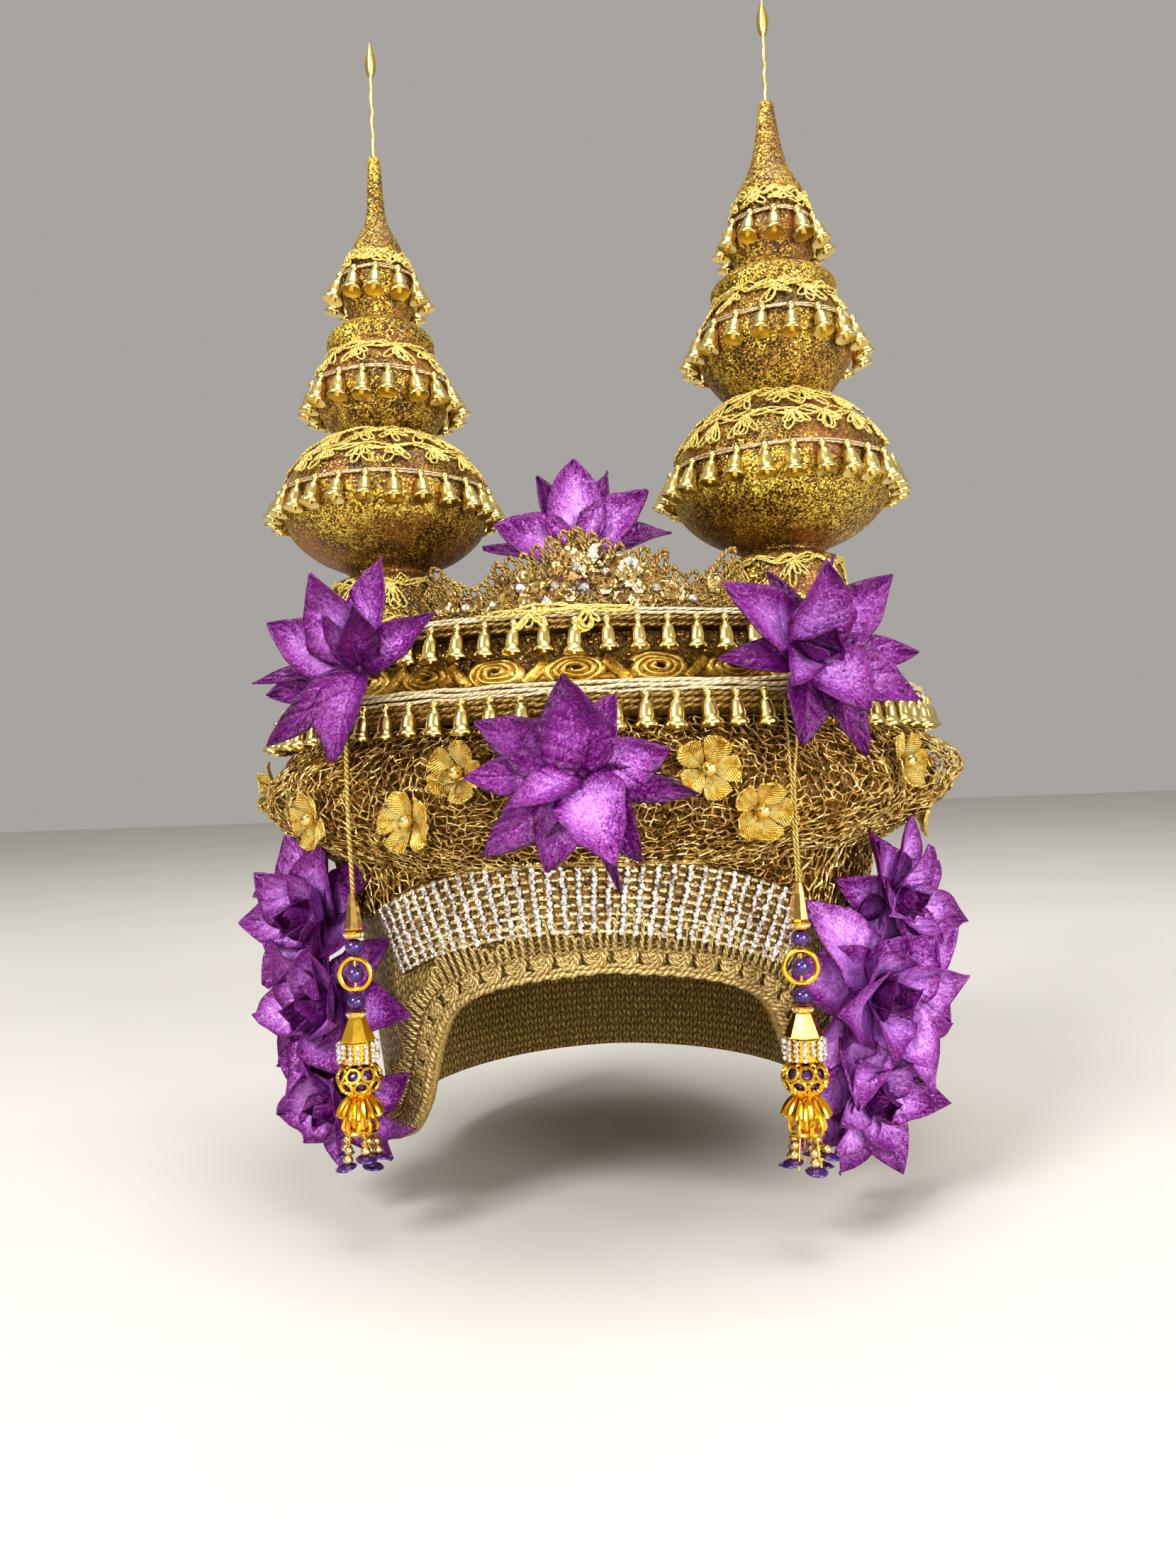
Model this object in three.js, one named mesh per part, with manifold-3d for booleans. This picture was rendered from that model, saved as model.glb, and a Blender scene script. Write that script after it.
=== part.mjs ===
// Twin-spired dance headdress: a hollow cap with an arched face opening, a net ruffle, two boards
// hung with bells, a lace crest, two turned spires, cloth flowers and two beaded drops.
// Millimetres, +Z up, the front towards -Y, the origin where the head's crown meets the cap.
import * as THREE from 'three';
import { mergeVertices } from 'three/addons/utils/BufferGeometryUtils.js';
import Module from 'manifold-3d';

const wasm = await Module();
wasm.setup();

// Cap
const gap = 0.3;
const capWall = 3;
const capColumns = 32;
const capSections = [
  { z: 3, halfWidth: 112, halfDepth: 108 },
  { z: -30, halfWidth: 108, halfDepth: 110 },
  { z: -70, halfWidth: 102, halfDepth: 108 },
  { z: -110, halfWidth: 97, halfDepth: 104 },
  { z: -155, halfWidth: 92, halfDepth: 99 },
];
const rimLine = [
  { angle: 0, z: -80 },
  { angle: 15, z: -83 },
  { angle: 26, z: -88.5 },
  { angle: 34, z: -97 },
  { angle: 40, z: -114 },
  { angle: 46, z: -133 },
  { angle: 58, z: -148 },
  { angle: 80, z: -152 },
  { angle: 180, z: -150 },
];
const rimTurn = 4.5;
const capRows = [0, 0.35, 0.7, 1];

// Stone band and rim braid on the cap
const girth = 105;
const band = { reach: 46, steps: 20, thickness: 2.6, height: 22, topMiddle: -45.4, fall: 17 };
const braid = { reach: 76, steps: 24, thickness: 3, height: 11, lift: 0.6 };

// Net ruffle: the rows run from the brim down, the gathers swell in the middle rows
const netWall = 1.4;
const netFolds = 16;
const netGapShare = 0.3;
const netSwell = 2.4;
const netSections = [
  { z: 2.9, halfWidth: 119, halfDepth: 113, swell: 0, pierced: false },
  { z: -8, halfWidth: 132, halfDepth: 116.5, swell: 0.7, pierced: true },
  { z: -17, halfWidth: 137, halfDepth: 118, swell: 1, pierced: false },
  { z: -26, halfWidth: 133, halfDepth: 117.5, swell: 1, pierced: true },
  { z: -35, halfWidth: 121, halfDepth: 115.5, swell: 0.6, pierced: false },
  { z: -44, halfWidth: 109.6, halfDepth: 112.6, swell: 0, pierced: false },
];

// Boards
const brim = {
  halfWidth: 130,
  halfDepth: 123,
  centreX: 0,
  sides: 32,
  rows: [
    { z: 3.3, inset: 4 },
    { z: 6.5, inset: 0 },
    { z: 12, inset: 0 },
    { z: 15, inset: 3 },
  ],
};
const riser = {
  halfWidth: 108,
  halfDepth: 93,
  centreX: -4,
  sides: 32,
  rows: [
    { z: 15.3, inset: 0 },
    { z: 33.7, inset: 0 },
  ],
};
const tier = {
  halfWidth: 114,
  halfDepth: 99,
  centreX: -4,
  sides: 32,
  rows: [
    { z: 34, inset: 4 },
    { z: 35.5, inset: 0 },
    { z: 39.5, inset: 0 },
    { z: 41, inset: 2 },
  ],
};
const tierTop = 41;

// Strings of bells
const bell = { length: 12, topHalf: 1.1, lipHalf: 3.1 };
const tape = { height: 3, depth: 2.2 };
const brimBells = { count: 46, stringZ: 12 };
const tierBells = { count: 40, stringZ: 37.6 };

// Ribbon rosettes round the foot of the riser
const rosette = { count: 24, bulge: 3.6, waist: 2.3, height: 7.2, waistHeight: 4.6 };

// Lace crest: the top edge and the openings of its pattern
const crestThickness = 1.6;
const crestArc = { halfWidth: 105, halfDepth: 90.5, centreX: 2 };
const crestBaseSteps = 10;
const crestTopEdge = [
  { x: -53, rise: 7 },
  { x: -47, rise: 14 },
  { x: -40, rise: 9 },
  { x: -33, rise: 10 },
  { x: -27, rise: 15 },
  { x: -18, rise: 18 },
  { x: -9, rise: 22 },
  { x: 0, rise: 26 },
  { x: 9, rise: 22 },
  { x: 18, rise: 18 },
  { x: 27, rise: 15 },
  { x: 33, rise: 10 },
  { x: 40, rise: 9 },
  { x: 47, rise: 14 },
  { x: 53, rise: 7 },
];
const crestOpenings = [
  { x: -46.5, rise: 7.5, halfWidth: 2.6, halfHeight: 3 },
  { x: -17, rise: 9, halfWidth: 4.4, halfHeight: 4.4 },
  { x: 0, rise: 9, halfWidth: 3.6, halfHeight: 4 },
  { x: 0, rise: 19, halfWidth: 2.6, halfHeight: 2.6 },
  { x: 17, rise: 9, halfWidth: 4.4, halfHeight: 4.4 },
  { x: 46.5, rise: 7.5, halfWidth: 2.6, halfHeight: 3 },
];

// Spires: turned sections from the foot up, and the height of each string of bells
const spireSides = 14;
const spireY = -10;
const spires = {
  left: {
    x: -86,
    bowl: [
      { z: 41.3, radius: 25 },
      { z: 69, radius: 22.5 },
      { z: 71.5, radius: 16.5 },
      { z: 75, radius: 19.5 },
      { z: 80, radius: 30 },
      { z: 88, radius: 39 },
      { z: 97, radius: 42.2 },
      { z: 107, radius: 41.2 },
      { z: 118.5, radius: 34.6 },
      { z: 129.2, radius: 17.8 },
    ],
    mid: [
      { z: 129.5, radius: 17.4 },
      { z: 135.5, radius: 23 },
      { z: 143, radius: 26.3 },
      { z: 152, radius: 26 },
      { z: 170, radius: 22.2 },
      { z: 182.2, radius: 12.8 },
    ],
    top: [
      { z: 182.5, radius: 12.4 },
      { z: 188, radius: 14.7 },
      { z: 197, radius: 14.2 },
      { z: 210, radius: 11.4 },
      { z: 217, radius: 8.8 },
      { z: 224, radius: 5.4 },
      { z: 250, radius: 2.6 },
    ],
    leafFoot: 284,
    leafTip: 297.7,
    bowlBells: { count: 14, stringZ: 106 },
    midBells: { count: 11, stringZ: 151.5 },
    topBells: { count: 8, stringZ: 197.5 },
  },
  right: {
    x: 78,
    bowl: [
      { z: 41.3, radius: 25.5 },
      { z: 69, radius: 23 },
      { z: 71.5, radius: 17 },
      { z: 75, radius: 20.5 },
      { z: 80, radius: 31 },
      { z: 88, radius: 40 },
      { z: 97, radius: 43.5 },
      { z: 107, radius: 42.8 },
      { z: 119, radius: 36.8 },
      { z: 133.4, radius: 18.8 },
    ],
    mid: [
      { z: 133.7, radius: 18.4 },
      { z: 141.5, radius: 25.4 },
      { z: 152.6, radius: 30.3 },
      { z: 162, radius: 29.6 },
      { z: 179.5, radius: 25.2 },
      { z: 188.7, radius: 14 },
    ],
    top: [
      { z: 189, radius: 13.8 },
      { z: 197, radius: 16.4 },
      { z: 206, radius: 15.6 },
      { z: 217.5, radius: 13.6 },
      { z: 224, radius: 11 },
      { z: 232, radius: 7.4 },
      { z: 256, radius: 3.4 },
    ],
    leafFoot: 284.5,
    leafTip: 299,
    bowlBells: { count: 14, stringZ: 106 },
    midBells: { count: 11, stringZ: 161.5 },
    topBells: { count: 8, stringZ: 206 },
  },
};
const leaf = { stemRadius: 0.9, halfWidth: 2.2, halfThickness: 0.7, sway: 1.4, stemSteps: 4 };

// Purple cloth flowers: radius across the petals, the way each faces, and its seat
const bloomPetals = 6;
const bloomShape = { valley: 0.62, innerShare: 0.68, cup: 0.15, innerCup: 0.36 };
const hubRadius = 3.2;
const stemSides = 5;
const frontFlower = { x: 5, y: -134, z: -15, radius: 34, facing: [0, -1, 0.05], spin: 10, stalk: 0 };
const cornerFlowers = {
  left: { x: -70, y: -113, z: 23, radius: 35, facing: [-0.3, -0.95, 0.1], spin: 25, stalk: 16 },
  right: { x: 77, y: -110, z: 21, radius: 33, facing: [0.35, -0.93, 0.08], spin: 0, stalk: 16 },
};
const backFlower = { x: -2, y: -44, z: 73.5, radius: 33, facing: [0, -0.97, 0.24], spin: 30, stalk: 4 };
const sideSprays = {
  left: [
    { x: -115, y: -43, z: -72, radius: 30, facing: [-0.8, -0.58, 0], spin: 0, stalk: 9, layers: 1 },
    { x: -108, y: -54, z: -100, radius: 30, facing: [-0.72, -0.7, 0], spin: 20, stalk: 9, layers: 1 },
    { x: -100, y: -62, z: -131, radius: 29, facing: [-0.64, -0.68, -0.3], spin: 40, stalk: 9, layers: 1 },
  ],
  right: [
    { x: 118, y: -42, z: -72, radius: 30, facing: [0.8, -0.58, 0], spin: 15, stalk: 9, layers: 1 },
    { x: 112, y: -53, z: -102, radius: 31, facing: [0.72, -0.7, 0], spin: 5, stalk: 9, layers: 1 },
    { x: 105, y: -56, z: -130, radius: 29, facing: [0.66, -0.66, -0.3], spin: 30, stalk: 9, layers: 1 },
  ],
};
const sprayStem = 2.2;

// Small gold flowers on the net: the angle round from the front and the height
const goldRadius = 10;
const goldPearl = 2.7;
const goldStand = 2;
const goldFlowers = [
  { name: 'gold_flower_front_left', angle: -16, z: -13, spin: 0 },
  { name: 'gold_flower_low_left', angle: -24, z: -27, spin: 30 },
  { name: 'gold_flower_corner_left', angle: -44, z: -25, spin: 10 },
  { name: 'gold_flower_side_left', angle: -80, z: -16, spin: 50 },
  { name: 'gold_flower_front_right', angle: 18, z: -15, spin: 20 },
  { name: 'gold_flower_low_right', angle: 26, z: -27, spin: 5 },
  { name: 'gold_flower_corner_right', angle: 55, z: -15, spin: 40 },
  { name: 'gold_flower_side_right', angle: 76, z: -30, spin: 25 },
];

// Beaded drops: each piece's length and radii, from the cord's end down
const dropSides = 10;
const dropTop = -52;
const cord = { radius: 0.9, sides: 8, steps: 10 };
const drops = {
  left: { x: -79.5, bellsFrom: -84, bellsTo: -75 },
  right: { x: 71, bellsFrom: 66.5, bellsTo: 75.5 },
};
const dropPieces = {
  cone: { length: 13.2, topRadius: 1.1, bottomRadius: 3.2 },
  rondelle: { length: 2.4, radius: 3.5 },
  pearl: { length: 5.6, radius: 3.1 },
  ring: { outer: 6.3, inner: 4.4, depth: 2, steps: 10 },
  coneCap: { length: 7.6, topRadius: 3.2, bottomRadius: 6.2 },
  collar: { length: 7, radius: 7.8 },
  ball: { length: 10.8, radius: 8 },
  flutes: { length: 7.4, topRadius: 2.6, bottomRadius: 8.1, dip: 1.1 },
  lowerCap: { length: 5.4, radius: 6.1 },
  dangle: { length: 12, count: 4, ring: 4.6, topHalf: 1.4, bottomHalf: 3 },
};

// Finishes
const lurexGold = new THREE.MeshStandardMaterial({ color: 0x8a6a2c, roughness: 0.62, metalness: 0.45 });
const netGold = new THREE.MeshStandardMaterial({ color: 0xa9802f, roughness: 0.5, metalness: 0.5 });
const crystal = new THREE.MeshStandardMaterial({ color: 0xd9d3c4, roughness: 0.15, metalness: 0.3 });
const braidGold = new THREE.MeshStandardMaterial({ color: 0xc89a45, roughness: 0.45, metalness: 0.6 });
const bellGold = new THREE.MeshStandardMaterial({ color: 0xe0c07a, roughness: 0.18, metalness: 1 });
const glitterBronze = new THREE.MeshStandardMaterial({ color: 0x4b3217, roughness: 0.55, metalness: 0.4 });
const satinGold = new THREE.MeshStandardMaterial({ color: 0xc9943f, roughness: 0.35, metalness: 0.25 });
const spirePaint = new THREE.MeshStandardMaterial({ color: 0xa47c25, roughness: 0.5, metalness: 0.55 });
const petalPurple = new THREE.MeshStandardMaterial({ color: 0x5c1178, roughness: 0.55, metalness: 0.05 });
const petalGold = new THREE.MeshStandardMaterial({ color: 0xd09a3c, roughness: 0.5, metalness: 0.3 });
const pearlViolet = new THREE.MeshStandardMaterial({ color: 0x3a2468, roughness: 0.15, metalness: 0.35 });
const dropGold = new THREE.MeshStandardMaterial({ color: 0xe3b02c, roughness: 0.2, metalness: 1 });

const radians = Math.PI / 180;
const up = new THREE.Vector3(0, 0, 1);
const part = new THREE.Group();
part.name = 'thai_headdress';

function point(x, y, z) {
  return new THREE.Vector3(x, y, z);
}

// A closed surface gathered from points and faces, turned so that its faces look out
function solidFrom(points, faces) {
  let volume = 0;
  for (const [a, b, c] of faces) {
    volume += points[a].dot(points[b].clone().cross(points[c]));
  }
  const index = faces.flatMap(([a, b, c]) => (volume > 0 ? [a, b, c] : [a, c, b]));
  const geometry = new THREE.BufferGeometry();
  const numbers = points.flatMap((p) => [p.x, p.y, p.z]);
  geometry.setAttribute('position', new THREE.Float32BufferAttribute(numbers, 3));
  geometry.setIndex(index);
  geometry.computeVertexNormals();
  return geometry;
}

function addQuad(faces, a, b, c, d) {
  faces.push([a, b, c], [a, c, d]);
}

// A solid through rows of points; a row of one point is an apex, a flat first or last row is capped
function loft(rows) {
  const points = [];
  const faces = [];
  const starts = [];
  for (const row of rows) {
    starts.push(points.length);
    points.push(...row);
  }
  for (let j = 0; j + 1 < rows.length; j += 1) {
    const low = rows[j].length;
    const high = rows[j + 1].length;
    const sides = Math.max(low, high);
    for (let i = 0; i < sides; i += 1) {
      const next = (i + 1) % sides;
      const a = starts[j] + (low === 1 ? 0 : i);
      const b = starts[j] + (low === 1 ? 0 : next);
      const c = starts[j + 1] + (high === 1 ? 0 : next);
      const d = starts[j + 1] + (high === 1 ? 0 : i);
      if (low > 1) faces.push([a, b, c]);
      if (high > 1) faces.push([a, c, d]);
    }
  }
  const last = rows.length - 1;
  for (let i = 1; i + 1 < rows[0].length; i += 1) {
    faces.push([starts[0], starts[0] + i + 1, starts[0] + i]);
  }
  for (let i = 1; i + 1 < rows[last].length; i += 1) {
    faces.push([starts[last], starts[last] + i, starts[last] + i + 1]);
  }
  return solidFrom(points, faces);
}

function toManifold(geometry) {
  const bare = geometry.clone();
  bare.deleteAttribute('normal');
  bare.deleteAttribute('uv');
  const merged = mergeVertices(bare, 1e-4);
  const vertProperties = Float32Array.from(merged.attributes.position.array);
  const triVerts = Uint32Array.from(merged.index.array);
  return new wasm.Manifold(new wasm.Mesh({ numProp: 3, vertProperties, triVerts }));
}

function fuse(geometries) {
  let solid = toManifold(geometries[0]);
  for (const geometry of geometries.slice(1)) {
    solid = solid.add(toManifold(geometry));
  }
  const mesh = solid.getMesh();
  const fused = new THREE.BufferGeometry();
  fused.setAttribute('position', new THREE.Float32BufferAttribute(mesh.vertProperties, 3));
  fused.setIndex(Array.from(mesh.triVerts));
  fused.computeVertexNormals();
  return fused;
}

function place(name, geometry, material) {
  const mesh = new THREE.Mesh(geometry, material);
  mesh.name = name;
  part.add(mesh);
}

// Value of a column at a key, along a table sorted by that key
function along(table, key, value, column) {
  const rising = table[1][key] > table[0][key];
  const rows = rising ? table : [...table].reverse();
  if (value <= rows[0][key]) return rows[0][column];
  for (let i = 0; i + 1 < rows.length; i += 1) {
    const from = rows[i];
    const to = rows[i + 1];
    if (value <= to[key]) {
      const share = (value - from[key]) / (to[key] - from[key]);
      return from[column] + (to[column] - from[column]) * share;
    }
  }
  return rows[rows.length - 1][column];
}

// Point on an oval; the angle runs from the front towards +X
function ovalPoint(halfWidth, halfDepth, angle, z, centreX = 0) {
  return point(centreX + halfWidth * Math.sin(angle), -halfDepth * Math.cos(angle), z);
}

function ovalRow(halfWidth, halfDepth, z, sides, centreX = 0) {
  const row = [];
  for (let i = 0; i < sides; i += 1) {
    row.push(ovalPoint(halfWidth, halfDepth, (i / sides) * 2 * Math.PI, z, centreX));
  }
  return row;
}

function ovalOutward(halfWidth, halfDepth, angle) {
  return point(Math.sin(angle) / halfWidth, -Math.cos(angle) / halfDepth, 0).normalize();
}

// Cap surface at an angle and height, moved out by an offset
function capPoint(angle, z, offset) {
  const halfWidth = along(capSections, 'z', z, 'halfWidth') + offset;
  const halfDepth = along(capSections, 'z', z, 'halfDepth') + offset;
  return ovalPoint(halfWidth, halfDepth, angle, z);
}

function rimHeight(angle) {
  const past = angle - rimTurn * radians;
  const turned = Math.abs(Math.atan2(Math.sin(past), Math.cos(past))) / radians;
  return along(rimLine, 'angle', turned, 'z');
}

function capRow(share, offset, topZ) {
  const row = [];
  for (let i = 0; i < capColumns; i += 1) {
    const angle = (i / capColumns) * 2 * Math.PI;
    const rim = rimHeight(angle);
    row.push(capPoint(angle, rim + (topZ - rim) * share, offset));
  }
  return row;
}

function makeCap() {
  const outerTop = capSections[0].z;
  const innerTop = outerTop - capWall;
  const outer = [...capRows].reverse().map((share) => capRow(share, 0, outerTop));
  const inner = capRows.map((share) => capRow(share, -capWall, innerTop));
  return loft([[point(0, 0, outerTop)], ...outer, ...inner, [point(0, 0, innerTop)]]);
}

// The place a width above a line on the cap, square to the line
function squareTo(lineAt, angle, width) {
  const step = 0.02;
  const slope = (lineAt(angle + step) - lineAt(angle - step)) / (2 * step * girth);
  const length = Math.hypot(1, slope);
  return { angle: angle - (width * slope) / (length * girth), z: lineAt(angle) + width / length };
}

// A strip of even width laid on the cap along a line
function capStrip({ reach, steps, thickness }, lineAt, width) {
  const rows = [];
  for (let i = 0; i <= steps; i += 1) {
    const angle = (-reach + (2 * reach * i) / steps) * radians;
    const edge = squareTo(lineAt, angle, width);
    const near = 2 * gap;
    const far = near + thickness;
    rows.push([
      capPoint(angle, lineAt(angle), near),
      capPoint(angle, lineAt(angle), far),
      capPoint(edge.angle, edge.z, far),
      capPoint(edge.angle, edge.z, near),
    ]);
  }
  return loft(rows);
}

function makeBand() {
  const highAt = (angle) => {
    const share = angle / (band.reach * radians);
    return band.topMiddle - band.fall * share ** 2;
  };
  return capStrip(band, highAt, -band.height);
}

function makeBraid() {
  return capStrip(braid, (angle) => rimHeight(angle) + braid.lift, braid.height);
}

// Folds of the net: a crest and a valley in turn, the valley close after its crest
function netColumnAngle(column) {
  const fold = Math.floor(column / 2);
  const share = column - fold * 2 === 0 ? 0 : netGapShare;
  return ((fold + share) / netFolds) * 2 * Math.PI;
}

function netVertex(column, z, offset = 0) {
  const crest = Math.abs(column % 2) === 0 ? 1 : -1;
  const swell = netSwell * along(netSections, 'z', z, 'swell') * crest;
  const halfWidth = along(netSections, 'z', z, 'halfWidth') + swell + offset;
  const halfDepth = along(netSections, 'z', z, 'halfDepth') + swell + offset;
  return ovalPoint(halfWidth, halfDepth, netColumnAngle(column), z);
}

// Net surface at an angle and height, on the flat between a crest and a valley
function netPoint(angle, z) {
  const place = (angle / (2 * Math.PI)) * netFolds;
  const fold = Math.floor(place);
  const past = place - fold;
  const column = fold * 2 + (past < netGapShare ? 0 : 1);
  const share = past < netGapShare ? past / netGapShare : (past - netGapShare) / (1 - netGapShare);
  return netVertex(column, z).lerp(netVertex(column + 1, z), share);
}

// The way out from the net, taken over about half a fold
function netOutward(angle, z) {
  const around = netPoint(angle + 0.12, z).sub(netPoint(angle - 0.12, z));
  const upward = netPoint(angle, z + 6).sub(netPoint(angle, z - 6));
  return around.cross(upward).normalize();
}

// How far the folds beside a place stand out past it, under a gold flower
function netRise(angle, z, out) {
  const middle = netPoint(angle, z);
  let rise = 0;
  for (const turn of [-0.08, -0.06, -0.04, -0.02, 0.02, 0.04, 0.06, 0.08]) {
    for (const lift of [-goldRadius, -goldRadius / 2, 0, goldRadius / 2, goldRadius]) {
      rise = Math.max(rise, netPoint(angle + turn, z + lift).sub(middle).dot(out));
    }
  }
  return rise * 1.2;
}

// Gathered wall with a gap of the coarse net in every fold of the pierced rows; the gap behind the
// front flower stays closed, because the flower is sewn on there
function makeNet() {
  const columns = netFolds * 2;
  const rows = netSections.length;
  const points = [];
  const faces = [];
  for (let j = 0; j < rows; j += 1) {
    for (let i = 0; i < columns; i += 1) {
      points.push(netVertex(i, netSections[j].z));
      points.push(netVertex(i, netSections[j].z, -netWall));
    }
  }
  const outer = (i, j) => 2 * (j * columns + (i % columns));
  const inner = (i, j) => outer(i, j) + 1;
  for (let j = 0; j + 1 < rows; j += 1) {
    for (let i = 0; i < columns; i += 1) {
      const sewn = i === 0 && j === 1;
      if (netSections[j].pierced && i % 2 === 0 && !sewn) {
        addQuad(faces, outer(i + 1, j), outer(i, j), inner(i, j), inner(i + 1, j));
        addQuad(faces, outer(i, j + 1), outer(i + 1, j + 1), inner(i + 1, j + 1), inner(i, j + 1));
        addQuad(faces, outer(i, j), outer(i, j + 1), inner(i, j + 1), inner(i, j));
        addQuad(faces, outer(i + 1, j + 1), outer(i + 1, j), inner(i + 1, j), inner(i + 1, j + 1));
      } else {
        addQuad(faces, outer(i, j), outer(i, j + 1), outer(i + 1, j + 1), outer(i + 1, j));
        addQuad(faces, inner(i, j), inner(i + 1, j), inner(i + 1, j + 1), inner(i, j + 1));
      }
    }
  }
  for (let i = 0; i < columns; i += 1) {
    addQuad(faces, outer(i, 0), outer(i + 1, 0), inner(i + 1, 0), inner(i, 0));
    addQuad(faces, inner(i, rows - 1), inner(i + 1, rows - 1), outer(i + 1, rows - 1), outer(i, rows - 1));
  }
  return solidFrom(points, faces);
}

function makeBoard({ halfWidth, halfDepth, centreX, sides, rows }) {
  const ring = ({ z, inset }) => ovalRow(halfWidth - inset, halfDepth - inset, z, sides, centreX);
  return loft(rows.map(ring));
}

// A string that carries bells: spot(t) gives a place on it and the way out there
function makeBells({ count, length, spot, flare, keep }) {
  const points = [];
  const faces = [];
  const half = tape.height / 2;
  const share = bell.topHalf / length;
  const places = [];
  for (let k = 0; k < count; k += 1) {
    for (const side of [-1, 1]) {
      const { at, out } = spot((k + 0.5) / count + side * share);
      const start = points.length;
      points.push(at.clone().addScaledVector(up, half));
      points.push(at.clone().addScaledVector(out, tape.depth).addScaledVector(up, -half));
      points.push(at.clone().addScaledVector(up, -half));
      places.push({ crown: start, outer: start + 1, inner: start + 2 });
    }
  }
  for (let s = 0; s < places.length; s += 1) {
    const from = places[s];
    const to = places[(s + 1) % places.length];
    addQuad(faces, from.crown, from.outer, to.outer, to.crown);
    addQuad(faces, from.inner, from.crown, to.crown, to.inner);
    const { at, out } = spot((Math.floor(s / 2) + 0.5) / count);
    if (s % 2 === 1 || !keep(at)) {
      addQuad(faces, from.outer, from.inner, to.inner, to.outer);
      continue;
    }
    const ahead = up.clone().cross(out);
    const lip = at.clone().addScaledVector(out, flare).addScaledVector(up, -half - bell.length);
    const corner = (sideways, outward) => {
      const place = lip.clone().addScaledVector(ahead, sideways * bell.lipHalf);
      points.push(place.addScaledVector(out, outward * bell.lipHalf));
      return points.length - 1;
    };
    const mouth = [corner(-1, 1), corner(-1, -1), corner(1, -1), corner(1, 1)];
    const neck = [from.outer, from.inner, to.inner, to.outer];
    for (let e = 0; e < 4; e += 1) {
      const next = (e + 1) % 4;
      addQuad(faces, neck[e], neck[next], mouth[next], mouth[e]);
    }
    addQuad(faces, mouth[0], mouth[1], mouth[2], mouth[3]);
  }
  return solidFrom(points, faces);
}

function perimeter(halfWidth, halfDepth) {
  return 2 * Math.PI * Math.sqrt((halfWidth ** 2 + halfDepth ** 2) / 2);
}

function boardBells(board, { count, stringZ }, keep) {
  const halfWidth = board.halfWidth + gap + 0.1;
  const halfDepth = board.halfDepth + gap + 0.1;
  const spot = (t) => {
    const angle = t * 2 * Math.PI;
    const at = ovalPoint(halfWidth, halfDepth, angle, stringZ, board.centreX);
    return { at, out: ovalOutward(halfWidth, halfDepth, angle) };
  };
  const length = perimeter(halfWidth, halfDepth);
  return makeBells({ count, length, spot, flare: bell.lipHalf + 0.4, keep });
}

function spireBells(spire, sections, { count, stringZ }) {
  const stringRadius = along(sections, 'z', stringZ - tape.height / 2, 'radius') + 1.2;
  const widest = Math.max(...sections.map(({ radius }) => radius));
  const flare = widest + 1 + bell.lipHalf - stringRadius;
  const spot = (t) => {
    const out = point(Math.sin(t * 2 * Math.PI), -Math.cos(t * 2 * Math.PI), 0);
    const at = point(spire.x, spireY, stringZ).addScaledVector(out, stringRadius);
    return { at, out };
  };
  return makeBells({ count, length: 2 * Math.PI * stringRadius, spot, flare, keep: () => true });
}

// Satin ribbon whose folds swell into rosettes, lying on the brim round the riser
function makeRosettes() {
  const stations = rosette.count * 2;
  const points = [];
  const faces = [];
  const foot = brim.rows[brim.rows.length - 1].z + gap;
  for (let s = 0; s < stations; s += 1) {
    const waist = s % 2 === 1;
    const angle = (s / stations) * 2 * Math.PI;
    const depth = waist ? rosette.waist : rosette.bulge;
    const height = waist ? rosette.waistHeight : rosette.height;
    const near = gap + 0.3;
    for (const [reach, rise] of [[near, 0], [near + depth, 0], [near + depth, height], [near, height]]) {
      const halfWidth = riser.halfWidth + reach;
      const halfDepth = riser.halfDepth + reach;
      points.push(ovalPoint(halfWidth, halfDepth, angle, foot + rise, riser.centreX));
    }
  }
  for (let s = 0; s < stations; s += 1) {
    const next = (s + 1) % stations;
    for (let e = 0; e < 4; e += 1) {
      const f = (e + 1) % 4;
      addQuad(faces, 4 * s + e, 4 * s + f, 4 * next + f, 4 * next + e);
    }
  }
  return solidFrom(points, faces);
}

// Flat lace pattern with openings, then bent round the front of the upper board
function makeCrest() {
  const reach = crestTopEdge[crestTopEdge.length - 1].x;
  const shape = new THREE.Shape();
  shape.moveTo(-reach, 0);
  for (let i = 1; i <= crestBaseSteps; i += 1) {
    shape.lineTo(-reach + (2 * reach * i) / crestBaseSteps, 0);
  }
  for (const { x, rise } of [...crestTopEdge].reverse()) {
    shape.lineTo(x, rise);
  }
  shape.closePath();
  for (const { x, rise, halfWidth, halfHeight } of crestOpenings) {
    const hole = new THREE.Path();
    hole.moveTo(x - halfWidth, rise);
    hole.lineTo(x - halfWidth / 2, rise + halfHeight);
    hole.lineTo(x + halfWidth / 2, rise + halfHeight);
    hole.lineTo(x + halfWidth, rise);
    hole.lineTo(x + halfWidth / 2, rise - halfHeight);
    hole.lineTo(x - halfWidth / 2, rise - halfHeight);
    hole.closePath();
    shape.holes.push(hole);
  }
  const sweep = { depth: crestThickness, bevelEnabled: false, steps: 1 };
  const flat = new THREE.ExtrudeGeometry(shape, sweep);
  flat.deleteAttribute('normal');
  flat.deleteAttribute('uv');
  const lace = mergeVertices(flat, 1e-4);
  const position = lace.attributes.position;
  for (let i = 0; i < position.count; i += 1) {
    const angle = position.getX(i) / crestArc.halfWidth;
    const offset = position.getZ(i);
    const z = tierTop + gap + position.getY(i);
    const halfWidth = crestArc.halfWidth + offset;
    const halfDepth = crestArc.halfDepth + offset;
    const bent = ovalPoint(halfWidth, halfDepth, angle, z, crestArc.centreX);
    position.setXYZ(i, bent.x, bent.y, bent.z);
  }
  lace.computeVertexNormals();
  return lace;
}

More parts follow.
